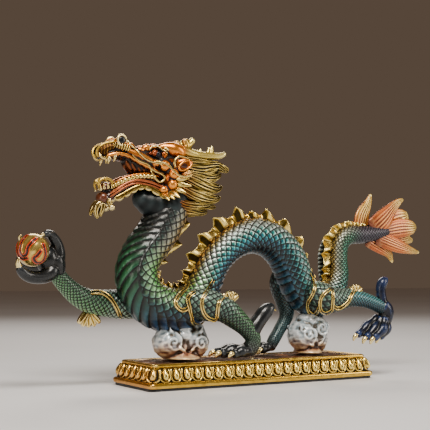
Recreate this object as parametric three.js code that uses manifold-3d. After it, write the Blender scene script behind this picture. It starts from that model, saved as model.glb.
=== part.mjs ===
// A table-top dragon, cast in one piece with the two scrolled clouds that carry it, holding a
// separate flaming pearl and standing on a gilded plinth with a petal moulding and a soft pad below.
// Millimetres, +Z up. The origin is the centre of the pad's underside, +X runs along the plinth
// towards the tail, and the dragon's left flank faces -Y.

import * as THREE from 'three';
import { mergeVertices } from 'three/addons/utils/BufferGeometryUtils.js';
import Module from 'manifold-3d';

const wasm = await Module();
wasm.setup();

// Driving dimensions
const figureLength = 475.9;
const plinthLength = 260;
const plinthWidth = 84;
const plinthHeight = 22;
const plinthCorner = 5;
const deckInset = 8;
const bandHeight = 4;
const petalPitch = 11.3;
const petalHeight = 13;
const petalRelief = 3.2;
const padHeight = 2.2;
const padInset = 1.5;
const pearlDiameter = 31;
const clearance = 0.3;
const weldDistance = 1e-4;

const acrossFigure = new THREE.Vector3(0, 1, 0);
const flanks = [-1, 1];

// The figure is drawn below in its own millimetres, and keeps its proportions at any figureLength.
// The middle of the body from the nape to the end of the tail: x, y, height above the deck, radius.
const spine = [
  [-74, 0, 180, 15.5],
  [-84, 0, 162, 18.8],
  [-92, 0, 141, 20],
  [-103, 0, 121, 19.8],
  [-117, 0, 103, 19.6],
  [-124, 0, 84, 20],
  [-118, 0, 64, 20.5],
  [-101, 0, 51, 21.2],
  [-79, 0, 48, 21],
  [-61, 0, 57, 19.4],
  [-50, 0, 73, 17.4],
  [-42, 0, 89, 16.3],
  [-31, 0, 103, 16],
  [-15, 0, 115, 16.4],
  [6, 0, 122, 17.6],
  [28, 0, 118, 18.5],
  [45, 0, 105, 18.9],
  [55, 0, 89, 19],
  [62, 0, 72, 18.3],
  [74, 0, 58, 17.2],
  [92, 0, 54, 15.8],
  [108, 0, 63, 13.4],
  [116, 0, 81, 11],
  [116, 0, 100, 9.8],
  [119, 0, 116, 9.8],
  [130, 0, 125, 10],
  [147, 0, 126, 9.4],
  [168, 0, 128, 8.2],
  [190, 0, 131, 5],
];

// The crest's points, and their heights at even steps from the nape to the tail.
const crestPoints = 19;
const crestStart = 0.06;
const crestEnd = 0.88;
const crestHeights = [5, 9, 7, 6, 15, 18, 13, 9, 4, 6, 5];
const crestValley = 3.4;
const crestLean = 0.3;
const crestThickness = 5;

function solidOf(geometry) {
  geometry.deleteAttribute('normal');
  geometry.deleteAttribute('uv');
  const merged = mergeVertices(geometry, weldDistance);
  const mesh = new wasm.Mesh({
    numProp: 3,
    vertProperties: new Float32Array(merged.attributes.position.array),
    triVerts: new Uint32Array(merged.index.array),
  });
  return new wasm.Manifold(mesh);
}

function geometryOf(solid) {
  const { vertProperties, triVerts } = solid.getMesh();
  const geometry = new THREE.BufferGeometry();
  geometry.setAttribute('position', new THREE.BufferAttribute(new Float32Array(vertProperties), 3));
  geometry.setIndex(new THREE.BufferAttribute(new Uint32Array(triVerts), 1));
  geometry.computeVertexNormals();
  return geometry;
}

function joined(solids) {
  return wasm.Manifold.union(solids);
}

// A casting has no sealed hollows: what the locks and folds close off between them is metal.
function outerSkin(solid) {
  return joined(solid.decompose().filter((shell) => shell.volume() > 0));
}

function pathOf(stations) {
  const points = stations.map(([x, y, z]) => new THREE.Vector3(x, y, z));
  return new THREE.CatmullRomCurve3(points, false, 'catmullrom', 0.5);
}

function sizesOf(stations) {
  const sizes = stations.map(([, , , wide, tall]) => new THREE.Vector3(wide, tall ?? wide, 0));
  return new THREE.CatmullRomCurve3(sizes, false, 'catmullrom', 0.5);
}

function frameAt(path, along) {
  const forward = path.getTangent(along);
  const side = acrossFigure.clone().addScaledVector(forward, -acrossFigure.dot(forward)).normalize();
  const back = forward.clone().cross(side);
  return { forward, side, back, centre: path.getPoint(along) };
}

// A closed tapering limb along its stations, each [x, y, z, half width, half height]. The width is
// measured across the figure, and a station without a half height is round.
function limb(stations, sides, rings) {
  const path = pathOf(stations);
  const sizes = sizesOf(stations);
  const tube = new THREE.CylinderGeometry(1, 1, 1, sides, rings);
  const place = tube.attributes.position;
  const local = new THREE.Vector3();
  for (let i = 0; i < place.count; i += 1) {
    local.fromBufferAttribute(place, i);
    const along = THREE.MathUtils.clamp(0.5 - local.y, 0, 1);
    const { side, back, centre } = frameAt(path, along);
    const size = sizes.getPoint(along);
    centre.addScaledVector(side, local.x * size.x).addScaledVector(back, local.z * size.y);
    place.setXYZ(i, centre.x, centre.y, centre.z);
  }
  return solidOf(tube);
}

function ball([x, y, z], [alongX, alongY, alongZ], sides, rows) {
  const sphere = new THREE.SphereGeometry(1, sides, rows);
  sphere.rotateX(Math.PI / 2);
  sphere.scale(alongX, alongY, alongZ);
  sphere.translate(x, y, z);
  return solidOf(sphere);
}

function mirrored(stations, flank) {
  return stations.map(([x, y, z, ...size]) => [x, y * flank, z, ...size]);
}

function body() {
  return limb(spine, 9, 42);
}

// The crest: a ribbon along the back whose edge zigzags from tall points to shallow valleys.
function crest() {
  const path = pathOf(spine);
  const sizes = sizesOf(spine);
  const heights = sizesOf(crestHeights.map((height) => [0, 0, 0, height]));
  const stations = [];
  for (let point = 0; point <= 2 * crestPoints; point += 1) {
    const share = point / (2 * crestPoints);
    const along = THREE.MathUtils.lerp(crestStart, crestEnd, share);
    const { forward, back, centre } = frameAt(path, along);
    const tall = point % 2 === 1;
    const height = tall ? heights.getPoint(share).x : crestValley;
    centre.addScaledVector(back, sizes.getPoint(along).y - 1);
    centre.addScaledVector(forward, tall ? height * crestLean : 0);
    stations.push([centre.x, centre.y, centre.z, crestThickness / 2, height]);
  }
  return limb(stations, 4, 2 * crestPoints);
}

// One toe or finger: three stations and the tip of its claw.
function toe(root, knuckle, end, thick) {
  return limb([
    [...root, thick],
    [...knuckle, thick * 0.92],
    [...end, thick * 0.7],
    [2 * end[0] - (knuckle[0] + end[0]) / 2, end[1], end[2] - thick * 0.55, 0.6],
  ], 4, 3);
}

function leftForeleg() {
  const leg = limb([
    [-76, -10, 56, 13],
    [-60, -20, 53, 15.2],
    [-43, -24, 49, 12.8],
    [-30, -26, 40, 10.6],
    [-18, -27, 30, 8.6],
    [-10, -27, 20, 7.8],
    [-12, -27, 11, 7.4],
    [-17, -26, 6.5, 5.6],
  ], 7, 8);
  const toes = [
    toe([-17, -21, 8], [-32, -15, 9], [-47, -12, 5.5], 4.8),
    toe([-17, -25, 8], [-32, -22, 8.5], [-46, -22, 5], 4.8),
    toe([-15, -29, 8], [-26, -29, 7], [-36, -29, 4.6], 4.6),
  ];
  const spur = limb([
    [-11, -27, 27, 5.4],
    [-3, -27, 36, 4.2],
    [6, -27, 45, 4.8],
    [11, -27, 49, 4],
    [16.5, -27, 46.5, 0.8],
  ], 4, 5);
  return joined([leg, spur, ...toes]);
}

function leftHindLeg() {
  const leg = limb([
    [70, -8, 66, 13],
    [80, -20, 58, 15.6],
    [94, -24, 56, 12.4],
    [110, -26, 58, 9.6],
    [127, -27, 56, 7.9],
    [144, -27, 51, 7.2],
    [158, -27, 44, 7.2],
    [158, -27, 34, 6.5],
  ], 7, 8);
  const toes = [
    toe([158, -27, 38], [155, -30, 25], [144, -31, 15], 4.6),
    toe([155, -30, 36], [147, -34, 24], [134, -34, 14], 4.4),
    toe([153, -27, 36], [141, -28, 24], [127, -30, 14], 4.4),
    toe([152, -24, 37], [136, -22, 27], [120, -24, 17], 4.4),
  ];
  const spur = limb([
    [156, -27, 46, 5.4],
    [152, -27, 60, 4],
    [153.5, -27, 71, 4.4],
    [157, -27, 77, 3.6],
    [162, -27, 77, 0.9],
  ], 4, 5);
  return joined([leg, spur, ...toes]);
}

function rightHindLeg() {
  const leg = limb([
    [62, 6, 92, 12],
    [54, 16, 75, 12.6],
    [60, 19, 55, 10.5],
    [61, 18, 39, 7.4],
    [51, 16, 25, 6.2],
    [42, 14, 14, 6.2],
    [38, 14, 7.5, 5.4],
  ], 7, 6);
  const toes = [
    toe([38, 11, 7], [28, 7, 6.5], [19, 4, 4.4], 4.1),
    toe([38, 14, 7], [26, 14, 7], [17, 14, 4.4], 4.1),
    toe([38, 17, 7], [29, 21, 6.5], [21, 25, 4.4], 4.1),
  ];
  return joined([leg, ...toes]);
}

// The right foreleg reaches forward and closes its claw round the pearl.
const pearlCentre = [-228, -2, 104];
function rightForeleg() {
  const arm = limb([
    [-92, 4, 58, 13],
    [-113, 12, 55, 14.5],
    [-133, 16, 54, 13.9],
    [-149, 17, 55, 12.6],
    [-165, 15, 57, 11.2],
    [-179, 12, 63, 9.6],
    [-191, 10, 72, 8.2],
    [-200, 9, 82, 7.6],
    [-203, 8, 92, 9],
  ], 7, 9);
  const palm = ball([-211, 8, 96], [12, 13, 15], 7, 4);
  const upperFinger = limb([
    [-204, 7, 96, 7],
    [-202, 5, 108, 5.2],
    [-208, 2, 117, 4.3],
    [-216, -2, 119, 3.4],
    [-222, -6, 116, 0.8],
  ], 4, 5);
  const lowerFinger = limb([
    [-205, 4, 88, 7.5],
    [-217, 0, 80, 6],
    [-231, -3, 80, 5.4],
    [-242, -6, 87, 4],
    [-246, -8, 94, 0.8],
  ], 4, 5);
  const farFinger = limb([
    [-206, 12, 97, 7],
    [-215, 17, 102, 5.6],
    [-225, 18, 108, 4.8],
    [-233, 15, 113, 3.8],
    [-236, 10, 116, 0.8],
  ], 4, 5);
  const tuft = fan([-163, 17, 50], [[-175, 33], [-166, 31], [-157, 33]], 3.4);
  return joined([arm, palm, upperFinger, lowerFinger, farFinger, tuft]);
}

// A small fan of rounded lobes, as at the elbow and the hocks.
function fan([x, y, z], tips, thick) {
  return joined(tips.map(([tipX, tipZ]) => limb([
    [x + (tipX - x) * 0.2, y, z, thick],
    [(x + tipX) / 2, y, (z + tipZ) / 2, thick * 1.1],
    [tipX, y, tipZ, thick * 0.75],
  ], 4, 2)));
}

// Hip and shoulder locks: rounded loops laid along the thigh.
function thighLocks(centres, reach) {
  return centres.map(([x, y, z, wide, tall]) => ball([x, y, z], [wide, reach, tall], 5, 4));
}

function skull() {
  return limb([
    [-56, 0, 182, 13, 13],
    [-72, 0, 185, 17, 16.5],
    [-88, 0, 187, 17.5, 17],
    [-101, 0, 190, 15.5, 15.5],
    [-113, 0, 194, 13.5, 11.5],
    [-126, 0, 196, 12, 7.6],
    [-138, 0, 201, 11.5, 6.6],
    [-150, 0, 202, 12, 7],
    [-160, 0, 198, 11, 8.2],
    [-167, 0, 194, 7, 6],
  ], 8, 9);
}

function jaw() {
  const bar = limb([
    [-92, 0, 172, 14, 9],
    [-106, 0, 169, 13.5, 6.5],
    [-119, 0, 170, 12, 5],
    [-132, 0, 168, 10.5, 5],
    [-146, 0, 163, 9, 5.4],
    [-157, 0, 159, 8, 6.4],
    [-164, 0, 154, 5, 6],
  ], 6, 6);
  const throat = limb([
    [-128, 0, 156, 5, 6],
    [-117, 0, 154, 9, 10],
    [-104, 0, 150, 14, 16],
    [-92, 0, 148, 17, 18],
  ], 6, 2);
  const tongue = limb([
    [-100, 0, 175, 6, 4],
    [-122, 0, 177, 6, 3],
    [-143, 1, 173, 5.5, 3],
    [-154, 2, 174, 4.5, 3],
    [-159, 3, 179, 2, 1.4],
  ], 4, 4);
  const beard = [[-168, 0, 136], [-158, -4, 145], [-158, 4, 145]].map(([x, y, z]) => limb([
    [-158, y * 0.6, 158, 4],
    [(x - 158) / 2, y, (z + 153) / 2, 3],
    [x, y, z, 0.9],
  ], 4, 2));
  return joined([bar, throat, tongue, ...beard]);
}

function faceSide(flank) {
  const at = (stations) => mirrored(stations, flank);
  const eye = ball([-111, 11 * flank, 197], [5, 4, 4.6], 5, 3);
  const brow = limb(at([[-121, 9, 202, 1.8], [-112, 13, 206, 3], [-101, 14.5, 203, 3], [-92, 15, 196, 1.8]]), 3, 3);
  const browBulge = ball([-90, 8 * flank, 202], [12, 7.5, 7], 6, 3);
  const nostril = ball([-145, 7 * flank, 208], [6, 5.2, 6.4], 6, 3);
  const upperLip = limb(at([
    [-166, 5, 190, 2.4],
    [-157, 10, 192, 2.4],
    [-146, 11.5, 197, 2.2],
    [-134, 12.5, 193, 2.2],
    [-121, 14, 186, 2],
    [-109, 15.5, 180, 2],
    [-101, 16, 173, 1.6],
  ]), 3, 6);
  const cheeks = [[-111, 12, 186, 5], [-99, 14.5, 181, 6], [-94, 15, 168, 6]]
    .map(([x, y, z, radius]) => ball([x, y * flank, z], [radius, radius, radius], 5, 4));
  const fangs = [[-160, 8, 190, -1], [-146, 10, 195, -1], [-152, 6.5, 163, 1]]
    .map(([x, y, z, turn]) => limb(at([[x, y, z - turn, 2], [x - 1, y, z + 6 * turn, 0.6]]), 3, 1));
  const ear = limb(at([
    [-90, 14, 186, 3, 5],
    [-83, 18, 189, 2.4, 7],
    [-75, 21, 190, 1, 1.5],
  ]), 4, 2);
  const frill = [[-78, 19, 170], [-87, 19, 160], [-99, 17, 156]]
    .map(([x, y, z]) => limb(at([[-95, 13, 170, 3.4], [x, y, z, 0.8]]), 4, 1));
  const horn = limb(at([
    [-90, 7, 203, 5],
    [-77, 8, 203, 5.6],
    [-62, 9, 199, 4.8],
    [-46, 10.5, 200, 4],
    [-33, 12.5, 205, 2.4],
  ]), 5, 4);
  const prongs = [
    at([[-79, 8, 202, 4.4], [-75, 8, 217, 2]]),
    at([[-75, 8, 208, 3], [-66, 8, 216, 1.7]]),
    at([[-48, 10.5, 200, 3.2], [-48, 11, 209, 1.5]]),
  ].map((stations) => limb(stations, 4, 1));
  return joined([
    eye, brow, browBulge, nostril, upperLip, ear, horn,
    ...cheeks, ...fangs, ...frill, ...prongs,
  ]);
}

// The mane: rows of locks that start behind the ear and sweep back to free tips.
function mane() {
  const locksOnFlank = 5;
  const topHeight = 196;
  const lockDrop = 10.5;
  const locks = [ball([-68, 0, 172], [24, 17, 25], 7, 4)];
  for (const flank of flanks) {
    for (let row = 0; row < locksOnFlank; row += 1) {
      const height = topHeight - row * lockDrop;
      const bulge = 17 + 4 * Math.sin((Math.PI * row) / (locksOnFlank - 1));
      const reach = row % 2 === 0 ? -30 : -37;
      const tipX = reach - 14 * (row / (locksOnFlank - 1)) ** 3;
      locks.push(limb(mirrored([
        [-86, bulge - 5, height - 2, 5, 6],
        [-64, bulge, height - 2, 6, 7],
        [tipX, bulge * 0.35, height - 8, 0.9, 1],
      ], flank), 4, 2));
    }
  }
  return joined(locks);
}

// Flame petals that open from the end of the tail.
function tailFlames() {
  const petals = [
    [[146, 3, 128, 3, 8], [151, 4, 146, 2.6, 7], [160, 5, 162, 2, 4.5], [166, 4, 172, 0.7, 1]],
    [[160, -3, 130, 3, 9], [177, -4, 144, 2.8, 9], [190, -4, 158, 2.2, 5.5], [206, -3, 167, 0.7, 1]],
    [[174, 1, 131, 3, 9], [195, 2, 142, 3, 12], [210, 2, 147, 2.4, 9], [217, 2, 149, 0.8, 4]],
    [[178, -2, 129, 3, 8], [200, -2, 133, 2.8, 9], [219, -2, 135, 2.2, 6], [226, -1, 136, 0.7, 2]],
    [[178, 3, 128, 3, 7], [200, 4, 125, 2.6, 7], [218, 5, 123, 2, 4], [226, 5, 122, 0.7, 1]],
    [[172, -2, 125, 3, 7], [196, -4, 115, 2.8, 6], [214, -4, 110, 2.2, 4], [229, -3, 107, 0.8, 1.2]],
    [[155, 1, 122, 3, 8], [172, 1, 115, 2.6, 6.5], [186, 1, 107, 2, 4.5], [193, 1, 95, 0.7, 1]],
  ];
  return joined(petals.map((stations) => limb(stations, 4, 3)));
}

function spiral([x, y, z], radius, turns, thick, hand) {
  const steps = 7;
  const stations = [];
  for (let i = 0; i <= steps; i += 1) {
    const share = i / steps;
    const angle = hand * turns * 2 * Math.PI * share + Math.PI / 2;
    const reach = radius * (1 - 0.86 * share);
    const [across, up] = [reach * Math.cos(angle), reach * Math.sin(angle)];
    stations.push([x + across, y, z + up, thick, thick * (1 - 0.4 * share)]);
  }
  return limb(stations, 3, 6);
}

// A cloud: rounded billows on a flared foot, with a raised scroll on each of its faces.
function cloud(x, billows, footRadius, scrolls) {
  const foot = new THREE.LatheGeometry([
    new THREE.Vector2(0, 0),
    new THREE.Vector2(footRadius, 0),
    new THREE.Vector2(footRadius, 2),
    new THREE.Vector2(footRadius * 0.8, 8),
    new THREE.Vector2(0, 9),
  ], 9);
  foot.rotateX(Math.PI / 2);
  foot.scale(1, 0.78, 1);
  foot.translate(x, 0, 0);
  const lumps = billows.map(([alongX, height, radius, deep]) => (
    ball([x + alongX, 0, height], [radius, deep, radius], 7, 4)
  ));
  const curls = scrolls.flatMap(([alongX, height, radius, away, hand]) => [
    spiral([x + alongX, -away, height], radius, 1.25, 2.6, hand),
    ball([x + alongX, away - 2, height], [radius * 0.7, 5, radius * 0.7], 5, 3),
  ]);
  return joined([solidOf(foot), ...lumps, ...curls]);
}

function frontCloud() {
  return cloud(-76, [[-14, 17, 17, 18], [14, 17, 17, 18]], 24.5,
    [[-15, 16, 9.5, 17, 1], [15, 15, 9.5, 17, -1]]);
}

function rearCloud() {
  return cloud(75, [[-5, 21, 20, 20], [9, 25, 18, 19]], 20,
    [[-9, 22, 9, 18, -1], [11, 26, 8, 17, 1]]);
}

function drawnFigure() {
  const shoulderLocks = thighLocks([[-71, -22, 57, 6, 13], [-57, -26, 53, 6, 17], [-43, -26, 55, 8, 12]], 9);
  const hipLocks = thighLocks([[72, -20, 57, 5, 17], [83, -25, 58, 6, 13], [97, -26, 58, 8, 11]], 9);
  const kneeTuft = fan([-38, -26, 57], [[-44, 66], [-37, 67], [-30, 64]], 3.2);
  const hockTuft = fan([116, -26, 61], [[112, 70], [118, 72], [125, 69]], 3.2);
  return joined([
    body(), crest(), leftForeleg(), rightForeleg(), leftHindLeg(), rightHindLeg(), skull(), jaw(),
    ...flanks.map(faceSide), mane(), tailFlames(), frontCloud(), rearCloud(),
    ...shoulderLocks, ...hipLocks, kneeTuft, hockTuft,
  ]);
}

const drawn = drawnFigure();
const drawnBox = drawn.boundingBox();
const figureScale = figureLength / (drawnBox.max[0] - drawnBox.min[0]);

function dragonSolid() {
  const figure = drawn.scale([figureScale, figureScale, figureScale]);
  return outerSkin(figure.subtract(pearlSolid(clearance)));
}

function pearlSolid(grown) {
  const radius = pearlDiameter / 2 + grown;
  const [x, y, z] = pearlCentre.map((value) => value * figureScale);
  return ball([x, y, z], [radius, radius, radius], 11, 8);
}

function roundedRectangle(halfLength, halfWidth, corner) {
  const outline = new THREE.Shape();
  outline.absarc(halfLength - corner, halfWidth - corner, corner, 0, Math.PI / 2);
  outline.absarc(corner - halfLength, halfWidth - corner, corner, Math.PI / 2, Math.PI);
  outline.absarc(corner - halfLength, corner - halfWidth, corner, Math.PI, 1.5 * Math.PI);
  outline.absarc(halfLength - corner, corner - halfWidth, corner, 1.5 * Math.PI, 2 * Math.PI);
  return outline;
}

// The plinth's side, from the foot up: how far each level stands in from the foot's outline.
const petalInset = 3.2;
const petalFoot = bandHeight + 0.6;
const petalTop = petalFoot + petalHeight;
const plinthProfile = [
  [0, 1],
  [bandHeight * 0.3, 0],
  [bandHeight * 0.7, 0],
  [petalFoot, petalInset],
  [petalTop, deckInset - 1],
  [plinthHeight - 1, deckInset - 2],
  [plinthHeight, deckInset - 1],
];

function plinthSolid() {
  const levels = plinthProfile.length - 1;
  const outline = roundedRectangle(plinthLength / 2, plinthWidth / 2, plinthCorner);
  const block = new THREE.ExtrudeGeometry(outline, {
    depth: levels, steps: levels, bevelEnabled: false, curveSegments: 1,
  });
  const place = block.attributes.position;
  for (let i = 0; i < place.count; i += 1) {
    const [height, inset] = plinthProfile[Math.round(place.getZ(i))];
    const x = place.getX(i);
    const y = place.getY(i);
    place.setXYZ(i, x - Math.sign(x) * inset, y - Math.sign(y) * inset, height);
  }
  return joined([solidOf(block), ...petals()]);
}

// A row of petals along each side of the plinth, and one petal across each corner.
function petals() {
  const middle = (petalFoot + petalTop) / 2;
  const inset = (petalInset + deckInset - 1) / 2;
  const lean = Math.atan2(deckInset - 1 - petalInset, petalHeight);
  const beads = [];
  const bead = (x, y, turn, wide) => {
    const lobe = new THREE.SphereGeometry(1, 6, 2);
    lobe.scale(wide / 2, petalRelief, petalHeight * 0.52);
    lobe.rotateX(-lean);
    lobe.rotateZ(turn);
    lobe.translate(x, y, middle);
    beads.push(solidOf(lobe));
  };
  const halfX = plinthLength / 2 - inset;
  const halfY = plinthWidth / 2 - inset;
  const cornerRoom = plinthCorner + petalPitch * 0.62;
  const row = (halfSpan, place) => {
    const steps = Math.max(1, Math.round((2 * halfSpan) / petalPitch));
    const pitch = (2 * halfSpan) / steps;
    for (let i = 0; i <= steps; i += 1) {
      place(i * pitch - halfSpan, pitch * 0.92);
    }
  };
  for (const side of [-1, 1]) {
    row(halfX - cornerRoom, (x, wide) => bead(x, side * halfY, side > 0 ? Math.PI : 0, wide));
    row(halfY - cornerRoom, (y, wide) => bead(side * halfX, y, (side * Math.PI) / 2, wide));
    for (const end of [-1, 1]) {
      const turn = Math.atan2(end, -side);
      bead(end * (halfX - plinthCorner / 2), side * (halfY - plinthCorner / 2), turn, petalPitch * 0.9);
    }
  }
  return beads;
}

function padGeometry() {
  const outline = roundedRectangle(plinthLength / 2 - padInset, plinthWidth / 2 - padInset, plinthCorner);
  return new THREE.ExtrudeGeometry(outline, {
    depth: padHeight, bevelEnabled: false, curveSegments: 1,
  });
}

const paint = {
  dragon: new THREE.MeshStandardMaterial({ color: 0x3f8a76, roughness: 0.38, metalness: 0.35 }),
  pearl: new THREE.MeshStandardMaterial({ color: 0xd9b765, roughness: 0.25, metalness: 0.8 }),
  plinth: new THREE.MeshStandardMaterial({ color: 0xc9962f, roughness: 0.32, metalness: 0.85 }),
  pad: new THREE.MeshStandardMaterial({ color: 0x141416, roughness: 0.95, metalness: 0 }),
};

function piece(name, geometry, material, height) {
  const mesh = new THREE.Mesh(geometry, material);
  mesh.name = name;
  mesh.position.z = height;
  return mesh;
}

const plinthFoot = padHeight + clearance;
const deckHeight = plinthFoot + plinthHeight;
const figureFoot = deckHeight + clearance;

const sculpture = new THREE.Group();
sculpture.add(piece('dragon', geometryOf(dragonSolid()), paint.dragon, figureFoot));
sculpture.add(piece('pearl', geometryOf(pearlSolid(0)), paint.pearl, figureFoot));
sculpture.add(piece('plinth', geometryOf(plinthSolid()), paint.plinth, plinthFoot));
sculpture.add(piece('base_pad', padGeometry(), paint.pad, 0));

export default sculpture;
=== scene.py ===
"""A painted and gilded cast dragon on two scrolled clouds and a petal-moulded plinth.

Shapes are modelled in the figure's own millimetres (height measured from the deck) and are turned to
metres when each piece is put in place. The left flank, which the camera sees, faces -Y.
"""

import math

import bmesh
import bpy
import numpy as np
from mathutils import Matrix, Vector, noise
from mathutils.bvhtree import BVHTree


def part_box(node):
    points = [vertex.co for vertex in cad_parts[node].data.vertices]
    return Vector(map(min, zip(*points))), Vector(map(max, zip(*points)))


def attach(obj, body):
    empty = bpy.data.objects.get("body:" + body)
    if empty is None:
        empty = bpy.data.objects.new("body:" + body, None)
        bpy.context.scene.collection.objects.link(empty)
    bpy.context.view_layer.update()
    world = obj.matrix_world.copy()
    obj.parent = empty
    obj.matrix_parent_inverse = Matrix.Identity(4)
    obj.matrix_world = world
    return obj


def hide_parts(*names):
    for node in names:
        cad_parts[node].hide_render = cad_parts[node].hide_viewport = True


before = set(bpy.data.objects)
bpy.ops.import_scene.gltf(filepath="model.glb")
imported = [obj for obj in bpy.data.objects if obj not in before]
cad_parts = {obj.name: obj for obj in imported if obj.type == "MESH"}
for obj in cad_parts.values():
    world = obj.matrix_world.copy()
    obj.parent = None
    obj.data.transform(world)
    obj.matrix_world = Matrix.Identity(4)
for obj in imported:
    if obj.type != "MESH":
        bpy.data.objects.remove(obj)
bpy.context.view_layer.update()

MM = 0.001
FULL_TURN = 2 * math.pi
FIGURE_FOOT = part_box("dragon")[0].z / MM
PLINTH_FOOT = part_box("plinth")[0].z / MM
# The left and the right flank, as the sign of Y.
FLANKS = (-1, 1)
# The photograph's camera: its place in mm, its turn and tilt, its focal length and picture in pixels.
CAMERA_PLACE = (-542.68, -859.89, 105.26)
CAMERA_TURN = math.radians(30.45)
CAMERA_TILT = math.radians(3.51)
FOCAL_PIXELS = 1000
PHOTO_PIXELS = 430

# The middle of the body from the nape to the end of the tail: x, y, height above the deck, radius.
SPINE = [
    (-74, 0, 180, 15.5), (-84, 0, 162, 18.8), (-92, 0, 141, 20), (-103, 0, 121, 19.8),
    (-117, 0, 103, 19.6), (-124, 0, 84, 20), (-118, 0, 64, 20.5), (-101, 0, 51, 21.2),
    (-79, 0, 48, 21), (-61, 0, 57, 19.4), (-50, 0, 73, 17.4), (-42, 0, 89, 16.3),
    (-31, 0, 103, 16), (-15, 0, 115, 16.4), (6, 0, 122, 17.6), (28, 0, 118, 18.5),
    (45, 0, 105, 18.9), (55, 0, 89, 19), (62, 0, 72, 18.3), (74, 0, 58, 17.2),
    (92, 0, 54, 15.8), (108, 0, 63, 13.4), (116, 0, 81, 11), (116, 0, 100, 9.8),
    (119, 0, 116, 9.8), (130, 0, 125, 10), (147, 0, 126, 9.4), (168, 0, 128, 8.2),
    (190, 0, 131, 5),
]
# Scales counted round the body or a limb; they grow and shrink with its radius.
SCALES_ROUND = 14
# How pointed a scale's free edge is.
SCALE_BOW = 1.35
# Faces along each scale of the body and of the legs.
BODY_FINENESS, LEG_FINENESS = 8, 6


# Shapes


def unit(vectors):
    return vectors / np.maximum(np.linalg.norm(vectors, axis=-1, keepdims=True), 1e-12)


def smooth_curve(knots, share):
    """Points of the smooth curve through the knots, at shares 0 to 1 of its length in knots."""
    knots = np.asarray(knots, float)
    last = len(knots) - 1
    place = np.clip(np.asarray(share, float), 0, 1) * last
    start = np.minimum(place.astype(int), last - 1)
    t = (place - start)[..., None]
    padded = np.vstack([2 * knots[0] - knots[1], knots, 2 * knots[-1] - knots[-2]])
    before, here, there, after = (padded[start + step] for step in range(4))
    leave, arrive = (there - before) / 2, (after - here) / 2
    return (
        (2 * t**3 - 3 * t**2 + 1) * here
        + (t**3 - 2 * t**2 + t) * leave
        + (3 * t**2 - 2 * t**3) * there
        + (t**3 - t**2) * arrive
    )


def knots_of(stations):
    """The middle line and the half width and half height of a limb's stations."""
    middle = [station[:3] for station in stations]
    sizes = [(s[3], s[4] if len(s) > 4 else s[3]) for s in stations]
    return middle, sizes


def wrapped(stations, along, angle, lift=0.0):
    """Points round a limb. Angle 0 is its back, a quarter turn its +Y side, half a turn its belly."""
    middle, sizes = knots_of(stations)
    centre = smooth_curve(middle, along)
    step = 1e-3
    forward = unit(smooth_curve(middle, along + step) - smooth_curve(middle, along - step))
    across = np.array([0.0, 1.0, 0.0])
    side = unit(across - forward * forward[..., 1:2])
    back = np.cross(forward, side)
    size = smooth_curve(sizes, along)
    wide = (size[..., 0] + lift)[..., None]
    tall = (size[..., 1] + lift)[..., None]
    return centre + side * np.sin(angle)[..., None] * wide + back * np.cos(angle)[..., None] * tall


def points_of(mesh):
    flat = np.empty(len(mesh.vertices) * 3, np.float32)
    mesh.vertices.foreach_get("co", flat)
    return flat.reshape(-1, 3).astype(float)


def normals_of(mesh):
    flat = np.empty(len(mesh.vertices) * 3, np.float32)
    mesh.vertex_normals.foreach_get("vector", flat)
    return flat.reshape(-1, 3).astype(float)


def set_points(mesh, points):
    mesh.vertices.foreach_set("co", np.asarray(points, np.float32).ravel())
    mesh.update()


def keep(mesh, name, values):
    """Stores one number a point, for the materials to read."""
    layer = mesh.attributes.get(name) or mesh.attributes.new(name, "FLOAT", "POINT")
    layer.data.foreach_set("value", np.asarray(values, np.float32))


def kept(mesh, name):
    values = np.empty(len(mesh.vertices), np.float32)
    mesh.attributes[name].data.foreach_get("value", values)
    return values.astype(float)


def flat_sheet(rows, columns):
    """A flat grid of faces, with each point's share along it and across it."""
    bm = bmesh.new()
    bmesh.ops.create_grid(bm, x_segments=rows, y_segments=columns, size=0.5)
    mesh = bpy.data.meshes.new("sheet")
    bm.to_mesh(mesh)
    bm.free()
    flat = points_of(mesh)
    return mesh, flat[:, 0] + 0.5, flat[:, 1] + 0.5


def closed(mesh, gap=1e-4):
    """Welds the seam and the poles and turns every face outwards."""
    bm = bmesh.new()
    bm.from_mesh(mesh)
    bmesh.ops.remove_doubles(bm, verts=bm.verts, dist=gap)
    bmesh.ops.dissolve_degenerate(bm, edges=bm.edges, dist=gap / 10)
    bmesh.ops.recalc_face_normals(bm, faces=bm.faces)
    bm.to_mesh(mesh)
    bm.free()
    return mesh


def round_ends(along, share):
    """1 along a limb, falling to 0 at both ends as a dome does."""
    reach = np.clip(np.minimum(along, 1 - along) / share, 0, 1)
    return np.sqrt(np.maximum(reach * (2 - reach), 0))


def limb(bm, stations, sides=16, rings=24, dome=0.06, relief=None):
    """Adds a closed tapering limb to the bmesh. `relief` lifts its skin, in mm."""
    made = bmesh.ops.create_grid(bm, x_segments=rings, y_segments=sides, size=0.5)["verts"]
    flat = np.array([v.co[:] for v in made])
    along, turn = flat[:, 0] + 0.5, flat[:, 1] + 0.5
    angle = turn * FULL_TURN
    ends = round_ends(along, dome)
    middle = smooth_curve(knots_of(stations)[0], along)
    lift = relief(along, angle) if relief else np.zeros_like(along)
    skin = wrapped(stations, along, angle, lift)
    for vert, point in zip(made, middle + (skin - middle) * ends[:, None]):
        vert.co = point
    bmesh.ops.remove_doubles(bm, verts=made, dist=1e-4)


def ripples(depth, rounds, lengthwise=0.0, phase=0.0):
    """Relief for a limb: waves `depth` mm high, `rounds` of them round it, slanting along it."""
    return lambda along, angle: depth * np.cos(rounds * angle + lengthwise * along + phase)


def ball(bm, centre, radii, detail=3):
    place = Matrix.Translation(centre) @ Matrix.Diagonal((*radii, 1))
    bmesh.ops.create_icosphere(bm, subdivisions=detail, radius=1, matrix=place)


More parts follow.
